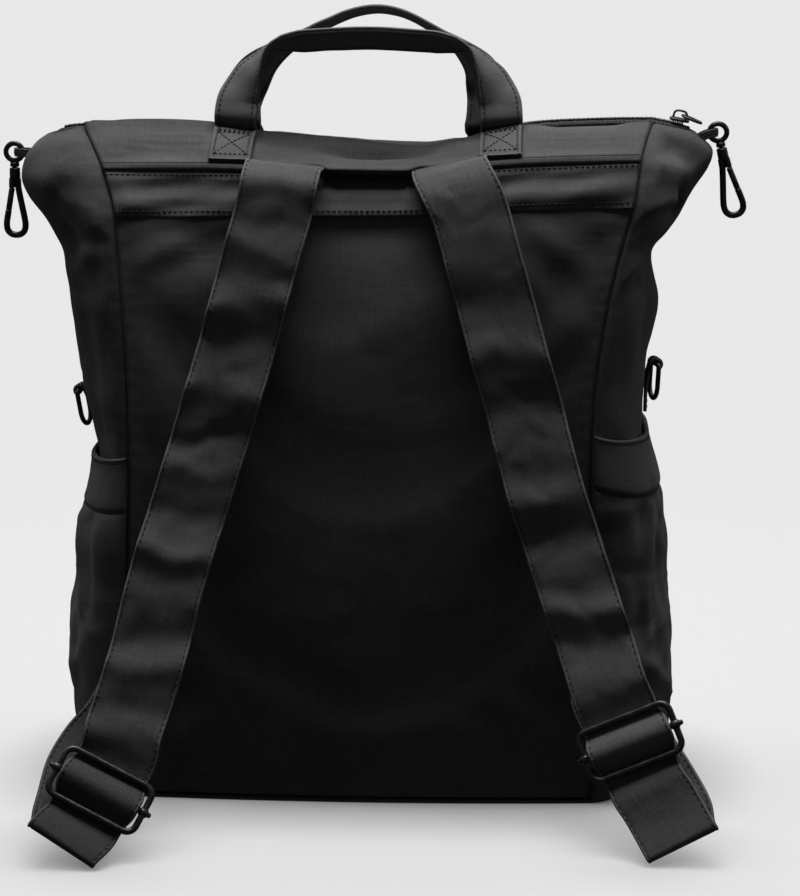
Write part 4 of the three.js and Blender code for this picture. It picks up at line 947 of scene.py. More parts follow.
# Folds seen on each pocket's back part: points (y, z) along the fold, breadth, height.
POCKET_FOLDS = {
    "left": [([(-26, 216), (-40, 200), (-52, 188)], 5.5, .6), ([(-34, 182), (-44, 150), (-50, 118)], 5, 2.4), ([(-55, 178), (-57, 120)], 4, -2.0),
             ([(-20, 160), (-34, 124), (-42, 92)], 6, -2.2), ([(-8, 140), (-24, 100), (-30, 66)], 7, 1.1), ([(-60, 104), (-44, 84), (-34, 77)], 6, 1.2)],
    "right": [([(-30, 200), (-44, 168), (-50, 130)], 5, 2.0), ([(-18, 170), (-34, 130), (-44, 96)], 6, -2.2), ([(-58, 150), (-54, 100)], 5, -1.6),
              ([(-10, 150), (-24, 104)], 7, 1.8), ([(-60, 96), (-40, 78), (-22, 66)], 6, 2.0)],
}


def pocket_piece(side):
    top, rising = POCKET_TOP[side], POCKET_RISE[side]
    half = .965
    probe = gusset(side, np.zeros(80), np.linspace(.03, top, 80))
    height = run_of(probe)[-1]
    hs = spread_lines(0, 1, 106, height, [1 - HEM / height, 1 - 3 / height])
    us = spread_lines(-half, half, 106, 190)
    U, H = np.meshgrid(us, hs)
    W = .03 + (top + rising * (U / .9) ** 2 - .03) * H
    P, N = with_normal(lambda u, v: gusset(side, u, v), U, W, V(OUT[side], 0, 0), eu=4e-3, ev=2e-2)
    P = P - N * dent(side, U, W)[..., None]
    y, z = P[..., 1], P[..., 2]
    rise = at(POCKET_OFF, "off", H * (len(POCKET_OFF["off"]) - 1))
    if side == "left":
        rise = rise * (1 - .5 * (1 - smooth(z, 25, 115)))
    edge = 1 - np.abs(U / half) ** 5
    dt = (1 - H) * height
    seed = 131 if side == "left" else 157
    body = smooth(dt, HEM, HEM + 9) * smooth(H, .02, .12)
    pleat = np.sin(y * .27 + 1.7 * noise(y / 26, z / 90, seed)) * np.exp(-(dt - HEM) / 70) * 1.2 * body
    slack = .75 if side == "left" else 1.5
    pleat = pleat + (slack * crumple(y, z, 44, seed) + .5 * crumple(y, z, 21, seed + 1)) * body
    pleat = pleat + 1.4 * np.exp(-((dt - HEM - 15) / 14) ** 2)
    # Long slack folds down the side.
    for c, lean, size in ((-34, .16, 1.3), (-12, -.1, -1.1), (14, .12, 1.3), (38, -.14, -1.1)):
        pleat = pleat + size * body * np.exp(-((y - c - lean * (dt - 90)) / 6.5) ** 2) * smooth(dt, HEM + 6, HEM + 40)
    for pts, wide, size in POCKET_FOLDS[side]:
        fold = stroke(np.stack([0 * y, y, z], -1), [V(0, a, b) for a, b in pts], wide, size)
        pleat = pleat + fold * smooth(dt, 4, 10) * (1 - .75 * np.exp(-((dt - HEM) / 5) ** 2))
    hemw = (1 - smooth(dt, HEM - 1, HEM + 1)) * (.6 + 1.0 * noise(y / 34, z / 60, seed + 4)) - (3.4 + 1.7 * smooth(U, -.35, .05)) * (1 - smooth(dt, 0, 30))
    disp = 2.5 + (rise - .7) * edge + (pleat + hemw) * np.maximum(edge, 0) ** .6
    disp = disp + groove(dt - HEM, .9, 1.2) + groove(dt - 3, .5, .8)
    sv = np.concatenate([np.zeros((P.shape[0], 1)), np.cumsum(np.linalg.norm(np.diff(P, axis=1), axis=-1), 1)], 1)
    dl, dr = sv, sv[:, -1:] - sv
    for dist, r in ((dl, 2.0), (dr, 2.0), (H * height, 1.6)):
        disp = disp - roll(dist, r) * .8
    disp = disp - roll(dt, 1.1)
    outer = P + N * disp[..., None]
    inner = P + N * (disp - 1.9)[..., None]
    uv = np.stack([sv * MM, H * height * MM], -1)
    # Painted light: a painted highlight on the fold of the pocket mouth, painted shade in the hem seam and along the
    # side seams.
    wear = .2 * np.exp(-(dt / 1.6) ** 2) - .9 * np.exp(-((dt - HEM) / 1.3) ** 2) - .8 * np.exp(-(np.minimum(dl, dr) / 1.5) ** 2)
    # Painted light: the left pocket is painted lighter below its mouth.
    if side == "left":
        wear = wear + .8 * smooth(dt, 2, 12)
    ob = shell_piece(f"{side}_pocket_cloth", outer, inner, uv, {"wear": wear}, CANVAS, side == "right")
    placed(ob, "bag", [f"{side}_pocket"])
    for r in (HEM, 3.0):
        j = np.argmin(np.abs(dt[:, 0] - r))
        SEAMS.line(outer[j, 3:-3], N[j, 3:-3])
    return outer, N


POCKETS = {s: pocket_piece(s) for s in ("left", "right")}

# Base: a stiff sewn panel with a rolled rim.
rim = [panel(-1, i / 40, 0) for i in range(40)]
rim += [gusset("right", -1 + i / 14, 0) for i in range(28)]
rim += [panel(1, i / 40, 0) for i in range(40, 0, -1)]
rim += [gusset("left", -1 + i / 14, 0) for i in range(28, 0, -1)]
rim = np.array(rim)
rim[:, 2] = 0
rings, heights = [], []
for k, h in ((.0, 2.6), (.3, 2.6), (.6, 2.6), (.9, 2.6), (.985, 2.7), (1.003, 2.4), (1.006, 1.6), (1.0, .7), (.988, .15), (.97, 0), (.9, 0), (.6, 0), (.3, 0), (.0, 0)):
    q = rim * max(k, .002)
    q[:, 2] = h
    rings.append(q)
rings = np.array(rings)
m = rings.shape[1]
ob = add_mesh("base_panel_cloth", rings.reshape(-1, 3), [grid_faces(len(rings), m, 0, False, True)],
              rings[..., :2].reshape(-1, 2) * MM, {"wear": np.zeros(rings.shape[0] * m)}, CANVAS)
placed(ob, "bag", ["base_panel"])

# ------------------------------------------------------------------ straps and handles
STRAP_THREADS, HANDLE_THREADS = Threads(), Threads()


def ribbon_piece(name, p, w, width, thick, material, relief, bead=.5, stitch_in=3.6, threads=None, pitch=3.6, fuller=None, both=False, even=0, painted_light_along=None):
    """A sewn strap: turned edges that stand a little proud, a stitched groove inside each edge, soft cross folds."""
    t = tangents(p)
    w = unit(w - t * np.sum(w * t, -1, keepdims=True))
    s = run_of(p)
    if even:
        near = np.exp(-.5 * ((s[:, None] - s[None]) / even) ** 2) * np.gradient(s)[None]
        w = unit(near @ w)
    n = unit(np.cross(t, w))
    h = width / 2
    a = np.concatenate([[0, .25, .6], np.arange(1.0, stitch_in - .55, .55), stitch_in + np.array([-.4, 0, .45, 1.1, 2.2])])
    a = a[np.concatenate([[True], np.diff(a) > .12])]
    mid = np.linspace(-(h - stitch_in - 4), h - stitch_in - 4, 17)
    a = np.concatenate([-h + a, mid, (h - a)[::-1]])
    d = h - np.abs(a)
    half = thick / 2 * np.sqrt(np.clip(1 - (1 - np.clip(d / 1.1, 0, 1)) ** 2, 0, 1))
    half = half + bead * np.exp(-((d - .47 * stitch_in) / (.36 * stitch_in)) ** 2) * np.clip(d / .5, 0, 1) - .4 * np.exp(-((d - stitch_in) / .5) ** 2)
    S, A = np.meshgrid(s, a, indexing="ij")
    lift = relief(S, A)
    if fuller is not None:
        A = A * fuller(s)[:, None]
    base = p[:, None] + w[:, None] * A[..., None]
    top = base + n[:, None] * (lift + half)[..., None]
    low = base + n[:, None] * (lift - half)[..., None]
    loop = np.concatenate([top, low[:, ::-1]], 1)
    k = loop.shape[1]
    uvt = np.stack([A * MM, S * MM], -1)
    uv = np.concatenate([uvt, uvt[:, ::-1]], 1)
    # Painted highlight along both rounded edges, where they catch the light, with some edge wear.
    edge_highlight_and_wear = np.exp(-((d - .5) / (.42 * stitch_in)) ** 2)
    wear = np.broadcast_to(np.concatenate([edge_highlight_and_wear, edge_highlight_and_wear[::-1]])[None], loop.shape[:2])
    # Painted shade or painted light added along the strip's length.
    if painted_light_along is not None:
        wear = wear + painted_light_along(s)[:, None]
    faces = [grid_faces(len(p), k, 0, False, True)]
    v = loop.reshape(-1, 3)
    for j, flip in ((0, True), (len(p) - 1, False)):
        c = np.arange(len(a) - 1)
        q = np.stack([j * k + c, j * k + c + 1, j * k + k - 2 - c, j * k + k - 1 - c], -1)
        faces.append(q if flip else q[:, ::-1])
    ob = add_mesh(name, v, [np.concatenate(faces)], uv.reshape(-1, 2), {"wear": wear.reshape(-1)}, material)
    if threads is not None:
        for target in (-h + stitch_in, h - stitch_in):
            j = int(np.argmin(np.abs(a - target)))
            threads.line(top[2:-2, j], n[2:-2], pitch)
            if both:
                threads.line(low[2:-2, j], -n[2:-2], pitch)
    return ob, (p, t, w, n, s, a, top, low, lift)


def strap_route(side):
    """The webbing's centre line and width direction, and the slider's seat on it."""
    tab = STRAPS[side]
    pts = np.stack([tab["x"], tab["y"], tab["z"]], -1)
    nrow = len(pts) - 1
    fine = 520
    raw = curve3(pts, fine)
    v = np.arange(fine + 1) / fine * nrow
    s = run_of(raw)
    t = tangents(raw)
    tilt = np.radians(at(tab, "tilt", v))
    w = np.stack([np.cos(tilt), 0 * tilt, np.sin(tilt)], -1)
    w = unit(w - t * np.sum(w * t, -1, keepdims=True))
    m = unit(np.cross(t, w))
    m = np.where(m[:, 1:2] > 0, -m, m)
    k = round(SLIDER_ROW[side] / nrow * fine)
    pitch = SLIDER_H / 2 - WIRE_R
    d = s - s[k]
    a = np.abs(d)
    step = np.where(a <= pitch, WEAVE * np.cos(PI * d / pitch),
                    np.where(a <= pitch + 18, -WEAVE * (.5 + .5 * np.cos(PI * (a - pitch) / 18)), 0))
    hold = (1 - smooth(a, pitch + 4, pitch + 24))[:, None]
    line = raw * (1 - hold) + (raw[k] + t[k] * d[:, None]) * hold
    mm = unit(m * (1 - hold) + m[k] * hold)
    ww = w * (1 - hold) + w[k] * hold
    line = line + mm * step[:, None]
    # Sewn end under the band's lower edge.
    x0 = tab["x"][0] - OUT[side] * 1.2
    root, rn = off_panel(-1, x0, SEAM_ROW - .02, STRAP_T / 2 + .9)
    wr = unit(off_panel(-1, x0 + 20, SEAM_ROW - .12, 0)[0] - off_panel(-1, x0 - 20, SEAM_ROW - .12, 0)[0])
    head = np.array([root + (line[0] - root) * f for f in np.linspace(0, .9, 6)])
    headw = np.array([wr * (1 - f) + ww[0] * f for f in np.linspace(0, .9, 6)])
    hub = line[-1] - m[-1] * FOLD_R
    ang = PI * np.arange(1, 13) / 12
    fold = hub + FOLD_R * (np.cos(ang)[:, None] * m[-1] + np.sin(ang)[:, None] * t[-1])
    inn = INNER[side]
    knots = np.stack([inn["x"], inn["y"], inn["z"]], -1)
    leave = unit(knots[0] - fold[-1])
    leave = unit(leave - w[-1] * np.dot(leave, w[-1]) * .85 - m[-1] * .15)
    knots = np.vstack([fold[-1:], fold[-1:] + leave * 5.0, knots])
    tilts = np.radians(inn["tilt"])
    turns = np.vstack([w[-1:], w[-1:], np.stack([np.cos(tilts), 0 * tilts, np.sin(tilts)], -1)])
    tail = curve3(knots, 80)[1:]
    kk = np.arange(1, 81) / 80 * (len(knots) - 1)
    tailw = np.stack([np.interp(kk, np.arange(len(knots)), turns[:, c]) for c in range(3)], -1)
    p = np.concatenate([head, line, fold, tail])
    ws = np.concatenate([headw, ww, np.repeat(w[-1:], 12, 0), tailw])
    marks = (run_of(p)[len(head) + k], run_of(p)[len(head) + len(line) + 6], run_of(p)[-1])
    return p, ws, marks, (raw[k], t[k], w[k], m[k])


# Cross folds seen on each strap: distance along it, height, breadth, slant.
STRAP_FOLDS = {
    "left": cols("s size wide slant", [
        (25, 3.0, 9, .1), (48, -3.0, 9, .35), (68, 1.2, 10, -.15), (80, -.9, 8, .2), (98, 2.3, 10, .25), (124, -1.5, 9, .2),
        (153, 2.6, 11, .1), (183, -2.3, 7, .25), (201, 2.4, 9, .3), (228, -1.5, 8, .2), (253, 2.6, 9, .1), (280, .9, 10, .2),
        (305, -2.8, 9, .35), (322, 2.2, 10, .3), (350, -1.1, 8, .1), (366, .8, 8, .1)]),
    "right": cols("s size wide slant", [
        (24, 1.9, 9, -.1), (46, -1.1, 8, -.2), (75, 1.4, 12, -.1), (100, -1.3, 10, -.2), (133, 2.0, 12, -.25), (165, -1.8, 10, -.1),
        (190, 1.1, 9, -.2), (218, 2.6, 10, -.15), (240, -1.6, 9, -.2), (262, .9, 10, -.1), (286, 2.4, 9, -.25), (306, -1.5, 8, -.2),
        (330, .9, 9, -.1)]),
}
ROUTES = {}
for side in ("left", "right"):
    p, ws, marks, seat = strap_route(side)
    total = marks[2]
    s = np.unique(np.concatenate([np.arange(0, total, 2.6), np.arange(marks[0] - 26, marks[0] + 26, .8), np.arange(marks[1] - 5, marks[1] + 5, .45), [total]]))
    s = s[(s >= 0) & (s <= total)]
    close = (np.abs(s - marks[0]) < 26.5) | (np.abs(s - marks[1]) < 5.5)
    s = s[np.concatenate([[True], np.diff(s) > np.where(close[1:], .3, 1.2)])]
    p, ws = resample(p, s, [ws])
    F = STRAP_FOLDS[side]

    def relief(S, A, F=F, marks=marks, seed=201 if side == "left" else 233):
        out = 0
        for k in range(len(F["s"])):
            warp = 5 * noise(A / 19 + k * 3.1, S / 60, seed + k)
            reach = .45 + .55 * smooth(noise(A / 24 + k * 1.7, 0 * S + k, seed + 50), -.5, .4)
            strong = 1.0 if F["s"][k] < 60 else 1.6
            out = out + strong * F["size"][k] * reach * np.exp(-((S + F["slant"][k] * A + warp - F["s"][k]) / F["wide"][k]) ** 2)
        out = out + .45 * crumple(A * 1.2, S, 21, seed) + .25 * noise(A / 9, S / 13, seed + 3)
        free = smooth(np.abs(S - marks[0]), 19, 40) * smooth(np.abs(S - marks[1]), 8, 34)
        return out * free

    # Painted shade on each strap below its slider and on the folded tail; the left strap's lower part is painted
    # darker, the right strap's lighter.
    ob, rib = ribbon_piece(f"{side}_strap_webbing", p, ws, STRAP_W, STRAP_T, WEBBING, relief, bead=.3, stitch_in=2.1, threads=STRAP_THREADS, pitch=4.2, both=True,
                           fuller=lambda q, c=marks[0]: 1 + .12 * np.exp(-((q - c) / 12.0) ** 4), even=9,
                           painted_light_along=lambda q, c=marks[0], k=.4 if side == "left" else -.35: -.5 * smooth(q, c - 8, c + 26) - k * smooth(q, c - 160, c - 80))
    # The strap's outer face looks towards -Y.
    placed(ob, "bag", [f"{side}_strap"])
    ROUTES[side] = (rib, marks, seat)


def handle_piece(name, d, tab, feet):
    half, mid_foot, mid_top, off = feet
    rows = np.array(FOOT_ROWS)
    flat = np.full(len(rows), 1.0)
    foot = lambda sg: off_panel(d, flat * (sg * half + mid_foot), rows, HANDLE_T / 2 + off)[0]
    footw = lambda sg: unit(off_panel(d, flat * (sg * (half - 9) + mid_foot), rows, 0)[0] - off_panel(d, flat * (sg * (half + 9) + mid_foot), rows, 0)[0])
    shift = mid_foot + (mid_top - mid_foot) * np.clip((tab["z"] - 421) / 55, 0, 1)
    leg = lambda sg: np.stack([-sg * tab["x"] + shift, tab["y"], tab["z"]], -1)
    legw = lambda sg: np.stack([-sg * tab["wx"], tab["wy"], tab["wz"]], -1)
    pts = np.concatenate([foot(-1), leg(-1), leg(1)[:-1][::-1], foot(1)[::-1]])
    ws = np.concatenate([footw(-1), legw(-1), legw(1)[:-1][::-1], footw(1)[::-1]])
    fine = 400
    p = curve3(pts, fine)
    k = np.arange(fine + 1) / fine * (len(pts) - 1)
    w = np.stack([np.interp(k, np.arange(len(pts)), ws[:, c]) for c in range(3)], -1)
    s = np.arange(0, run_of(p)[-1], 1.6)
    p, w = resample(p, s, [w])
    relief = lambda S, A: .3 * noise(A / 16, S / 38, 301) + .12 * noise(A / 6, S / 9, 307)
    # Painted shade: the handle's ends, which lie flat on the band, are painted darker.
    ob, rib = ribbon_piece(name, p, w, HANDLE_W, HANDLE_T, HANDLE, relief, bead=.35, stitch_in=3.0, threads=HANDLE_THREADS, pitch=3.2, both=True,
                           painted_light_along=lambda q: -1.1 * (1 - smooth(np.minimum(q, q[-1] - q), 24, 29)))
    placed(ob, "bag", [name.replace("_strap", "")])
    float(run_of(p)[-1]) * MM
    # Stitched boxes with a cross at both feet.
    p, t, w, n, s, a, top, low, lift = rib
    sgn = 1 if np.dot(n[6], V(0, d, 0)) > 0 else -1
    total = s[-1]
    for end in (0, 1):
        at_s = lambda q: q if end == 0 else total - q
        pos = lambda q, c: resample(p, [at_s(q)])[0][0] + resample(p, [at_s(q)], [w])[1][0] * c
        nrm = lambda q: unit(resample(p, [at_s(q)], [n])[1][0]) * sgn
        lo, hi, cw = 4.0, 24.5, HANDLE_W / 2 - 3.0
        segs = [((lo, -cw), (lo, cw)), ((hi, -cw), (hi, cw)), ((lo, -cw), (hi, cw)), ((lo, cw), (hi, -cw)), ((hi + 2.2, -cw), (hi + 2.2, cw))]
        for (q0, c0), (q1, c1) in segs:
            f = np.linspace(0, 1, 14)
            line = np.array([pos(q0 + (q1 - q0) * x, c0 + (c1 - c0) * x) + nrm(q0 + (q1 - q0) * x) * (HANDLE_T / 2 + .1) for x in f])
            HANDLE_THREADS.line(line, np.array([nrm(q0 + (q1 - q0) * x) for x in f]), 2.7, 2.1, .45)
    return rib


HB = handle_piece("back_handle_strap", -1, HANDLES["back"], FEET["back"])
HF = handle_piece("front_handle_strap", 1, HANDLES["front"], FEET["front"])

# ------------------------------------------------------------------ sliders
for side in ("left", "right"):
    rib, marks, (c, t, w, m) = ROUTES[side]
    hl, hh, cr = SLIDER_L / 2 - WIRE_R, SLIDER_H / 2 - WIRE_R, 6.0
    pts = []
    for cx, cy, a0 in ((hl - cr, hh - cr, 0), (-(hl - cr), hh - cr, 90), (-(hl - cr), -(hh - cr), 180), (hl - cr, -(hh - cr), 270)):
        for k in range(11):
            a = math.radians(a0 + 9 * k)
            pts.append(c + w * (cx + cr * math.cos(a)) + t * (cy + cr * math.sin(a)))
    pts = np.array(pts)
    dense = resample(np.vstack([pts, pts[:1]]), np.linspace(0, run_of(np.vstack([pts, pts[:1]]))[-1], 150)[:-1])[0]
    part = Parts().tube(dense, WIRE_R, m, 18, True)
    part.tube(np.array([c - w * (hl + 2.6), c, c + w * (hl + 2.6)]), WIRE_R * .9, m, 16)
    for sg in (-1, 1):
        e = c + w * sg * hl
        part.turned(e - w * sg * 2.7, w * sg, [(0, .3), (.2, 2.2), (.8, 2.75), (2.7, 2.9), (4.6, 2.75), (5.3, 2.1), (5.6, 1.5), (6.1, 1.6), (6.9, 1.5), (7.5, 1.0), (7.7, .1)], m, 20)
    ob = part.build(f"{side}_slider_metal", METAL)
    placed(ob, "bag", [f"{side}_slider"])

# ------------------------------------------------------------------ snap hooks and rings
for side in ("left", "right"):
    hx, hy, hz, lean, reach = HOOKS[side]
    sg = OUT[side]
    turn = math.radians(-sg * lean)

    def place(a, d, y=0.0, sg=sg, turn=turn, hx=hx, hz=hz):
        x, z = sg * a, d
        return V(hx + x * math.cos(turn) + z * math.sin(turn), y, hz - x * math.sin(turn) + z * math.cos(turn))
    down = unit(place(0, -1) - place(0, 0))
    Y = V(0, 1, 0)
    ring = np.array([place(5.2 * math.cos(k * PI / 24), 5.2 * math.sin(k * PI / 24)) for k in range(48)])
    eye = Parts().tube(ring, 1.6, Y, 16, True)
    eye.turned(place(0, -6.0), down, [(0, .2), (.05, 2.0), (.5, 2.65), (1.2, 2.8), (2.6, 2.8), (3.0, 2.5), (3.1, 1.3), (3.2, 1.25), (3.5, 1.25), (3.58, .1)], Y)
    placed(eye.build(f"{side}_hook_eye_metal", METAL), f"{side}_eye", [f"{side}_hook_eye"])
    spine = curve3([place(*r) for r in HOOK_SPINE], 110)
    rad = np.full(len(spine), 1.95)
    rad[-2:] = [1.95, 1.8]
    body = Parts().tube(spine, rad, Y, 18)
    # Swivel barrel with a rounded collar and shoulder.
    body.turned(place(0, -9.7), down, [(0, .1), (.02, 2.6), (.4, 3.15), (1, 3.3), (2.1, 3.15), (3.2, 3.3), (4.2, 3.25), (5.6, 3.3), (6.6, 3.2), (7.3, 2.7), (7.7, 1.9), (7.75, .1)], Y)
    lug0, lug1 = place(1.75, -15.6), place(1.98, -22.0)
    span_ = np.linalg.norm(lug1 - lug0)
    body.turned(lug0, lug1 - lug0, [(0, .2), (.3, 1.5), (1.0, 1.95), (span_ - .3, 1.95), (span_ - .05, 1.75), (span_, .1)], Y, 18)
    placed(body.build(f"{side}_hook_body_metal", METAL), f"{side}_hook", [f"{side}_hook_body"])
    gate0, gate1 = place(2.06, -22.3), place(4.4, -35.92)
    span_ = np.linalg.norm(gate1 - gate0)
    gate = Parts().turned(gate0, gate1 - gate0, [(0, .1), (.05, 1.6), (.3, 1.8), (span_ - .3, 1.8), (span_ - .05, 1.6), (span_, .1)], Y, 18)
    gate.turned(place(2.2, -23.4, -2.2), Y, [(0, .1), (.1, .8), (.5, 1.0), (3.9, 1.0), (4.3, .8), (4.4, .1)], V(1, 0, 0), 16)
    placed(gate.build(f"{side}_hook_gate_metal", METAL), f"{side}_gate", [f"{side}_hook_gate"])
    # Wing tab: a doubled strip looped through the eye.
    far, root, gy = hx - sg * .4, hx - sg * reach, 3.3
    route = [(root - sg * 5, -gy * 1.25), (root, -gy), ((root + far) / 2, -gy)]
    route += [(far + sg * (gy * math.cos(-PI / 2 + PI * k / 12) - gy), gy * math.sin(-PI / 2 + PI * k / 12)) for k in range(13)]
    route += [((root + far) / 2, gy), (root, gy), (root - sg * 5, gy * 1.25)]
    sink = 4.5 if side == "right" else .6
    p = np.array([V(x, y, hz - sink * float(np.clip((far - x) * sg / (abs(root - far) + 5), 0, 1)) ** 2) for x, y in route])
    s = np.linspace(0, run_of(p)[-1], 90)
    p = resample(p, s)[0]
    ob, _ = ribbon_piece(f"{side}_wing_tab_strip", p, np.tile(V(0, 0, 1), (len(p), 1)), 5.2, 1.4, HANDLE, lambda S, A: 0 * S, bead=.05, stitch_in=1.1)
    placed(ob, "bag", [f"{side}_wing_tab"])
    # Side ring, hanging flat on the gusset from a sewn strip.
    rx, rz, lean2, turn2, foot = SIDE_RINGS[side]
    a, b = math.radians(sg * lean2), math.radians(sg * turn2)

    def spun(v, a=a, b=b):
        x, y, z = v[0] * math.cos(a) + v[2] * math.sin(a), v[1], -v[0] * math.sin(a) + v[2] * math.cos(a)
        return V(x * math.cos(b) - y * math.sin(b), x * math.sin(b) + y * math.cos(b), z)
    dn, ow, al, top = spun(V(0, 0, -1)), spun(V(sg, 0, 0)), spun(V(0, 1, 0)), V(rx, 0, rz)
    put = lambda o, d, y=0.0: top + ow * o + dn * d + al * y
    R = DRING_R
    pts = [put(0, DRING_LEG + R * math.sin(PI * k / 30), R * math.cos(PI * k / 30)) for k in range(31)]
    pts += [put(0, d, -R) for d in (9.5, 6, 3)] + [put(0, 1.1, -R + .25), put(0, .3, -R + 1.0)]
    pts += [put(0, 0, y) for y in np.linspace(-R + 2.2, R - 2.2, 9)]
    pts += [put(0, .3, R - 1.0), put(0, 1.1, R - .25)] + [put(0, d, R) for d in (3, 6, 9.5)]
    placed(Parts().tube(np.array(pts), DRING_WIRE, ow, 16, True).build(f"{side}_side_ring_metal", METAL), "bag", [f"{side}_side_ring"])
    lp = DRING_WIRE + .3 + 1.25
    rows_ = ROWS[side]

    def skin(z, rows_=rows_, sg=sg):
        vv = np.linspace(3, 8, 400)
        return V(float(np.interp(z, at(rows_, "foldZ", vv), at(rows_, "foldX", vv))) + sg * STRIP_OFF, 0, z)
    tab = [skin(z) for z in np.linspace(foot, rz - 7, 6)]
    tab += [put(lp * math.cos(PI - 1.32 * PI * k / 12), -lp * math.sin(PI - 1.32 * PI * k / 12)) for k in range(13)]
    p = curve3(tab, 110)
    blend = np.clip(np.linspace(0, 3.2, len(p)) - .4, 0, 1)[:, None]
    ob, rib = ribbon_piece(f"{side}_side_tab_strip", p, V(0, 1, 0) * (1 - blend) + al * blend, STRIP_W, 2.3, HANDLE, lambda S, A: 0 * S, bead=.08, stitch_in=1.5)
    placed(ob, "bag", [f"{side}_side_tab"])
    sgn = 1 if np.dot(rib[3][12], V(sg, 0, 0)) > 0 else -1
    for q in (2.5, 6.0, 19.0):
        c = resample(rib[0], [q])[0][0]
        nn = unit(resample(rib[0], [q], [rib[3]])[1][0]) * sgn
        HANDLE_THREADS.line(np.array([c + V(0, y, 0) + nn * .8 for y in np.linspace(-3.2, 3.2, 6)]), np.tile(nn, (6, 1)), 2.2, 1.8, .38)


# ------------------------------------------------------------------ zip
def opening(x, d):
    l, r = {k: a[TOP_ROW] for k, a in LEFT.items()}, {k: a[TOP_ROW] for k, a in RIGHT.items()}
    if l["seamX"] <= x <= r["seamX"]:
        q = panel(d, np.array(share(x, TOP_ROW)), np.array(float(TOP_ROW)))
        return abs(q[1]), q[2]
    row = l if x < 0 else r
    c = (x - row["seamX"]) / (row["foldX"] - row["seamX"])
    return row["front"] * math.sqrt(max(1 - c * c, 0)), row["seamZ"] + (row["foldZ"] - row["seamZ"]) * c


def zip_sink(x):
    """The zip lies a little deeper where the band's edge rolls over it."""
    return float(2.2 * (1 - smooth(x, 70, 110)) * smooth(x, -186, -168))


ZL, ZR = LEFT["seamX"][TOP_ROW] - 17, RIGHT["seamX"][TOP_ROW] + 22.5
for name, d in (("zip_tape_back", -1), ("zip_tape_front", 1)):
    xs = np.linspace(ZL, ZR, 170)
    fs = np.linspace(0, 1, 9)
    outer = np.zeros((len(fs), len(xs), 3))
    for i, x in enumerate(xs):
        half, z = opening(x, d)
        z -= zip_sink(x)
        inn = ZIP_W / 2 + .3
        oo = max(half - .9, inn + .6)
        for j, f in enumerate(fs):
            yy = oo + (inn - oo) * f
            outer[j, i] = (x, d * yy, z + min(.9, .15 * (oo - inn)) * f - .5 * (1 - f) + .12 * math.sin(x * .7 + j))
    uv = np.stack([outer[..., 0] * MM, outer[..., 1] * MM], -1)
    ob = shell_piece(name + "_cloth", outer, outer - V(0, 0, 1.0), uv, {"wear": np.zeros(outer.shape[:2])}, TAPE, d > 0)
    placed(ob, "bag", [name])
    j = 5
    SEAMS.line(outer[2], np.tile(V(0, 0, 1), (len(xs), 1)), 2.6, 2.0, .32)

# Interlocked teeth: each is a small rounded block with a nose towards the other side.
teeth = Parts()
xs = np.arange(ZL + 4.5, ZR - 4.5, 1.35)
for i, x in enumerate(xs):
    d = -1 if i % 2 else 1
    z = opening(x, -1)[1] + .9 - zip_sink(x)
    prof = []
    for yy, hw, hh in ((2.55, .42, .75), (2.3, .55, 1.0), (1.2, .58, 1.12), (.2, .5, 1.08), (-.55, .62, 1.0), (-.95, .4, .7)):
        y = d * yy
        prof.append([V(x - hw, y, z - hh), V(x + hw, y, z - hh), V(x + hw, y, z + hh * .86), V(x + hw * .55, y, z + hh), V(x - hw * .55, y, z + hh), V(x - hw, y, z + hh * .86)])
    v = np.array(prof)
    k = v.shape[1]
    f = [grid_faces(len(prof), k, 0, d > 0, True)]
    caps = np.array([[0, 1, 2, 5], [5, 2, 3, 4]])
    e = (len(prof) - 1) * k
    f.append(caps[:, ::-1] if d < 0 else caps)
    f.append(caps + e if d < 0 else (caps + e)[:, ::-1])
    teeth.add(v.reshape(-1, 3), f, v[..., :2].reshape(-1, 2) * MM)
placed(teeth.build("zip_chain_teeth", ZIPMETAL), "bag", ["zip_chain"])

zx = ZIP_SLIDER_X
lie = math.atan2(opening(zx - 6, -1)[1] - opening(zx + 6, -1)[1], 12)
zz = opening(zx, -1)[1] + .9 + ZIP_H / 2 + .5
seated = lambda q: V(zx + q[0] * math.cos(lie) + q[2] * math.sin(lie), q[1], zz - q[0] * math.sin(lie) + q[2] * math.cos(lie))
part = Parts()
body = []
for zk, k in ((0, .02), (0, .9), (.25, .99), (.9, 1.0), (1.45, .97), (1.75, .88), (1.85, .6), (1.86, .02)):
    o = []
    for q in range(40):
        a = 2 * PI * q / 40
        cx, cy = abs(math.cos(a)) ** .45 * np.sign(math.cos(a)), abs(math.sin(a)) ** .45 * np.sign(math.sin(a))
        taper = 1 - .16 * max(cx, 0)
        o.append(seated((6 * cx * k, 4.5 * cy * k * taper, zk)))
    body.append(o)
v = np.array(body)
part.add(v.reshape(-1, 3), [grid_faces(len(body), 40, 0, False, True)], v[..., :2].reshape(-1, 2) * MM)
arch = np.array([seated((x, 0, z)) for x, z in ((-4.0, 1.3), (-3.95, 3), (-3.6, 5), (-2.4, 6.0), (0, 6.3), (2.4, 6.0), (3.6, 5), (3.95, 3), (4.0, 1.3))])
part.tube(curve3(arch, 40), .7, V(0, 1, 0), 12, False, 1.5)
placed(part.build("zip_slider_metal", ZIPMETAL), "bag", ["zip_slider"])
root = seated((1.4, 0, 3.7))
d = V(math.cos(math.radians(22)), 0, -math.sin(math.radians(22)))
loop = []
for k in range(72):
    a = 2 * PI * k / 72
    loop.append(V(root[0], 4.2 * np.sign(math.sin(a)) * abs(math.sin(a)) ** .7, root[2]) + d * (6 - 6 * math.cos(a)))
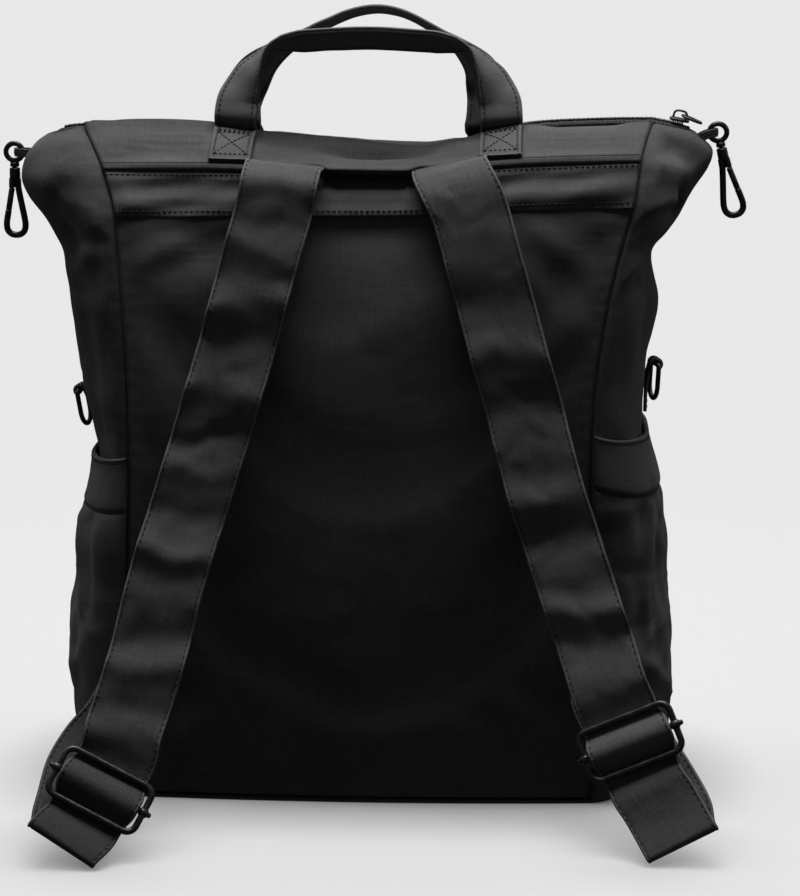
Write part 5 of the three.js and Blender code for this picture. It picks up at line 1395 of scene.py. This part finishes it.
placed(Parts().tube(np.array(loop), .8, V(d[2], 0, -d[0]), 12, True).build("zip_pull_metal", ZIPMETAL), "pull", ["zip_pull"])

# ------------------------------------------------------------------ threads
placed(SEAMS.build("body_stitching", THREAD), "bag", ())
placed(STRAP_THREADS.build("strap_stitching", THREAD), "bag", ())
placed(HANDLE_THREADS.build("handle_stitching", THREAD), "bag", ())

# ------------------------------------------------------------------ stage, light, camera
# A pale round cove: a matt floor near the bag that takes its shadow and also glows evenly, with a painted contact
# shadow in that glow close to the bag, running out into an even pale wall. It throws no light back on the bag, which is
# lit from above.
m, nt, bsdf, node, math_ = nodes_of("pale_cove")
lum = node("ShaderNodeAttribute", attribute_name="glow")
bsdf.inputs["Base Color"].default_value = (.15, .15, .15, 1)
bsdf.inputs["Roughness"].default_value = .95
bsdf.inputs["Specular IOR Level"].default_value = .05
wall = node("ShaderNodeEmission", ins={"Color": (.81, .81, .81, 1), "Strength": 1.0})
floor_glow = node("ShaderNodeEmission", ins={"Strength": 1.0})
# Painted contact shadow: ambient occlusion darkens the floor's glow within 7 cm of the bag.
painted_contact_shadow = node("ShaderNodeAmbientOcclusion", ins={"Color": (.6, .6, .6, 1), "Distance": .07})
nt.links.new(painted_contact_shadow.outputs["Color"], floor_glow.inputs["Color"])
lit = node("ShaderNodeAddShader")
nt.links.new(bsdf.outputs[0], lit.inputs[0])
nt.links.new(floor_glow.outputs[0], lit.inputs[1])
both = node("ShaderNodeMixShader")
nt.links.new(lum.outputs["Fac"], both.inputs[0])
nt.links.new(lit.outputs[0], both.inputs[1])
nt.links.new(wall.outputs[0], both.inputs[2])
for n in nt.nodes:
    if n.bl_idname == "ShaderNodeOutputMaterial":
        nt.links.new(both.outputs[0], n.inputs[0])
prof = [(.02, 0), (.2, 0), (.35, 0), (.5, 0), (.7, 0), (.95, 0), (1.3, 0), (2.0, 0), (2.6, .03), (3.0, .16), (3.35, .5), (3.5, 1.0), (3.55, 1.8), (3.55, 5.0)]
turn = np.linspace(0, 2 * PI, 96, endpoint=False)
pts = np.array([[V(r * math.cos(a), r * math.sin(a), z) * 1000 for a in turn] for r, z in prof] )
glow = np.array([[float(smooth(np.array(r), .42, 1.0))] * 96 for r, z in prof])
cove = np.concatenate([pts.reshape(-1, 3), [V(0, 0, 0)]])
disc = np.array([[k, (k + 1) % 96, len(cove) - 1] for k in range(96)])
floor = add_mesh("floor", cove, [grid_faces(len(prof), 96, 0, False, True), disc], None, {"glow": np.concatenate([glow.ravel(), [0.0]])}, m)
floor.visible_diffuse = False
floor.visible_glossy = False

world = bpy.data.worlds.new("studio")
bpy.context.scene.world = world
world.use_nodes = True
bg = world.node_tree.nodes["Background"]
bg.inputs[0].default_value = (1, 1, 1, 1)
bg.inputs[1].default_value = .06


def area(name, loc, target, size, energy, colour=(1, 1, 1)):
    data = bpy.data.lights.new(name, "AREA")
    data.shape = "RECTANGLE"
    data.size, data.size_y = size
    data.energy = energy
    data.color = colour
    ob = bpy.data.objects.new(name, data)
    bpy.context.scene.collection.objects.link(ob)
    from mathutils import Vector
    ob.location = loc
    ob.rotation_euler = (Vector(target) - Vector(loc)).to_track_quat("-Z", "Y").to_euler()
    return ob


area("overhead", (0, .05, 2.4), (0, .05, 0), (1.5, .9), 62)
area("overhead_back", (0, 1.3, 2.6), (0, .6, 0), (2.0, 1.0), 40)
area("fill_left", (-1.9, .9, 1.1), (0, 0, .2), (1.2, 1.2), 5.5)
area("fill_right", (1.9, .9, 1.1), (0, 0, .2), (1.2, 1.2), 5.5)

cam_data = bpy.data.cameras.new("camera")
cam_data.sensor_width = 36
cam_data.lens = 133.93
cam = bpy.data.objects.new("camera", cam_data)
bpy.context.scene.collection.objects.link(cam)
from mathutils import Vector
E, PSI = math.radians(13), math.radians(4)
cam.location = (.15877, -2.00899, .67457)
fwd = Vector((-math.sin(PSI) * math.cos(E), math.cos(PSI) * math.cos(E), -math.sin(E)))
cam.rotation_euler = fwd.to_track_quat("-Z", "Y").to_euler()
bpy.context.scene.camera = cam
bpy.context.scene.view_settings.view_transform = "Standard"
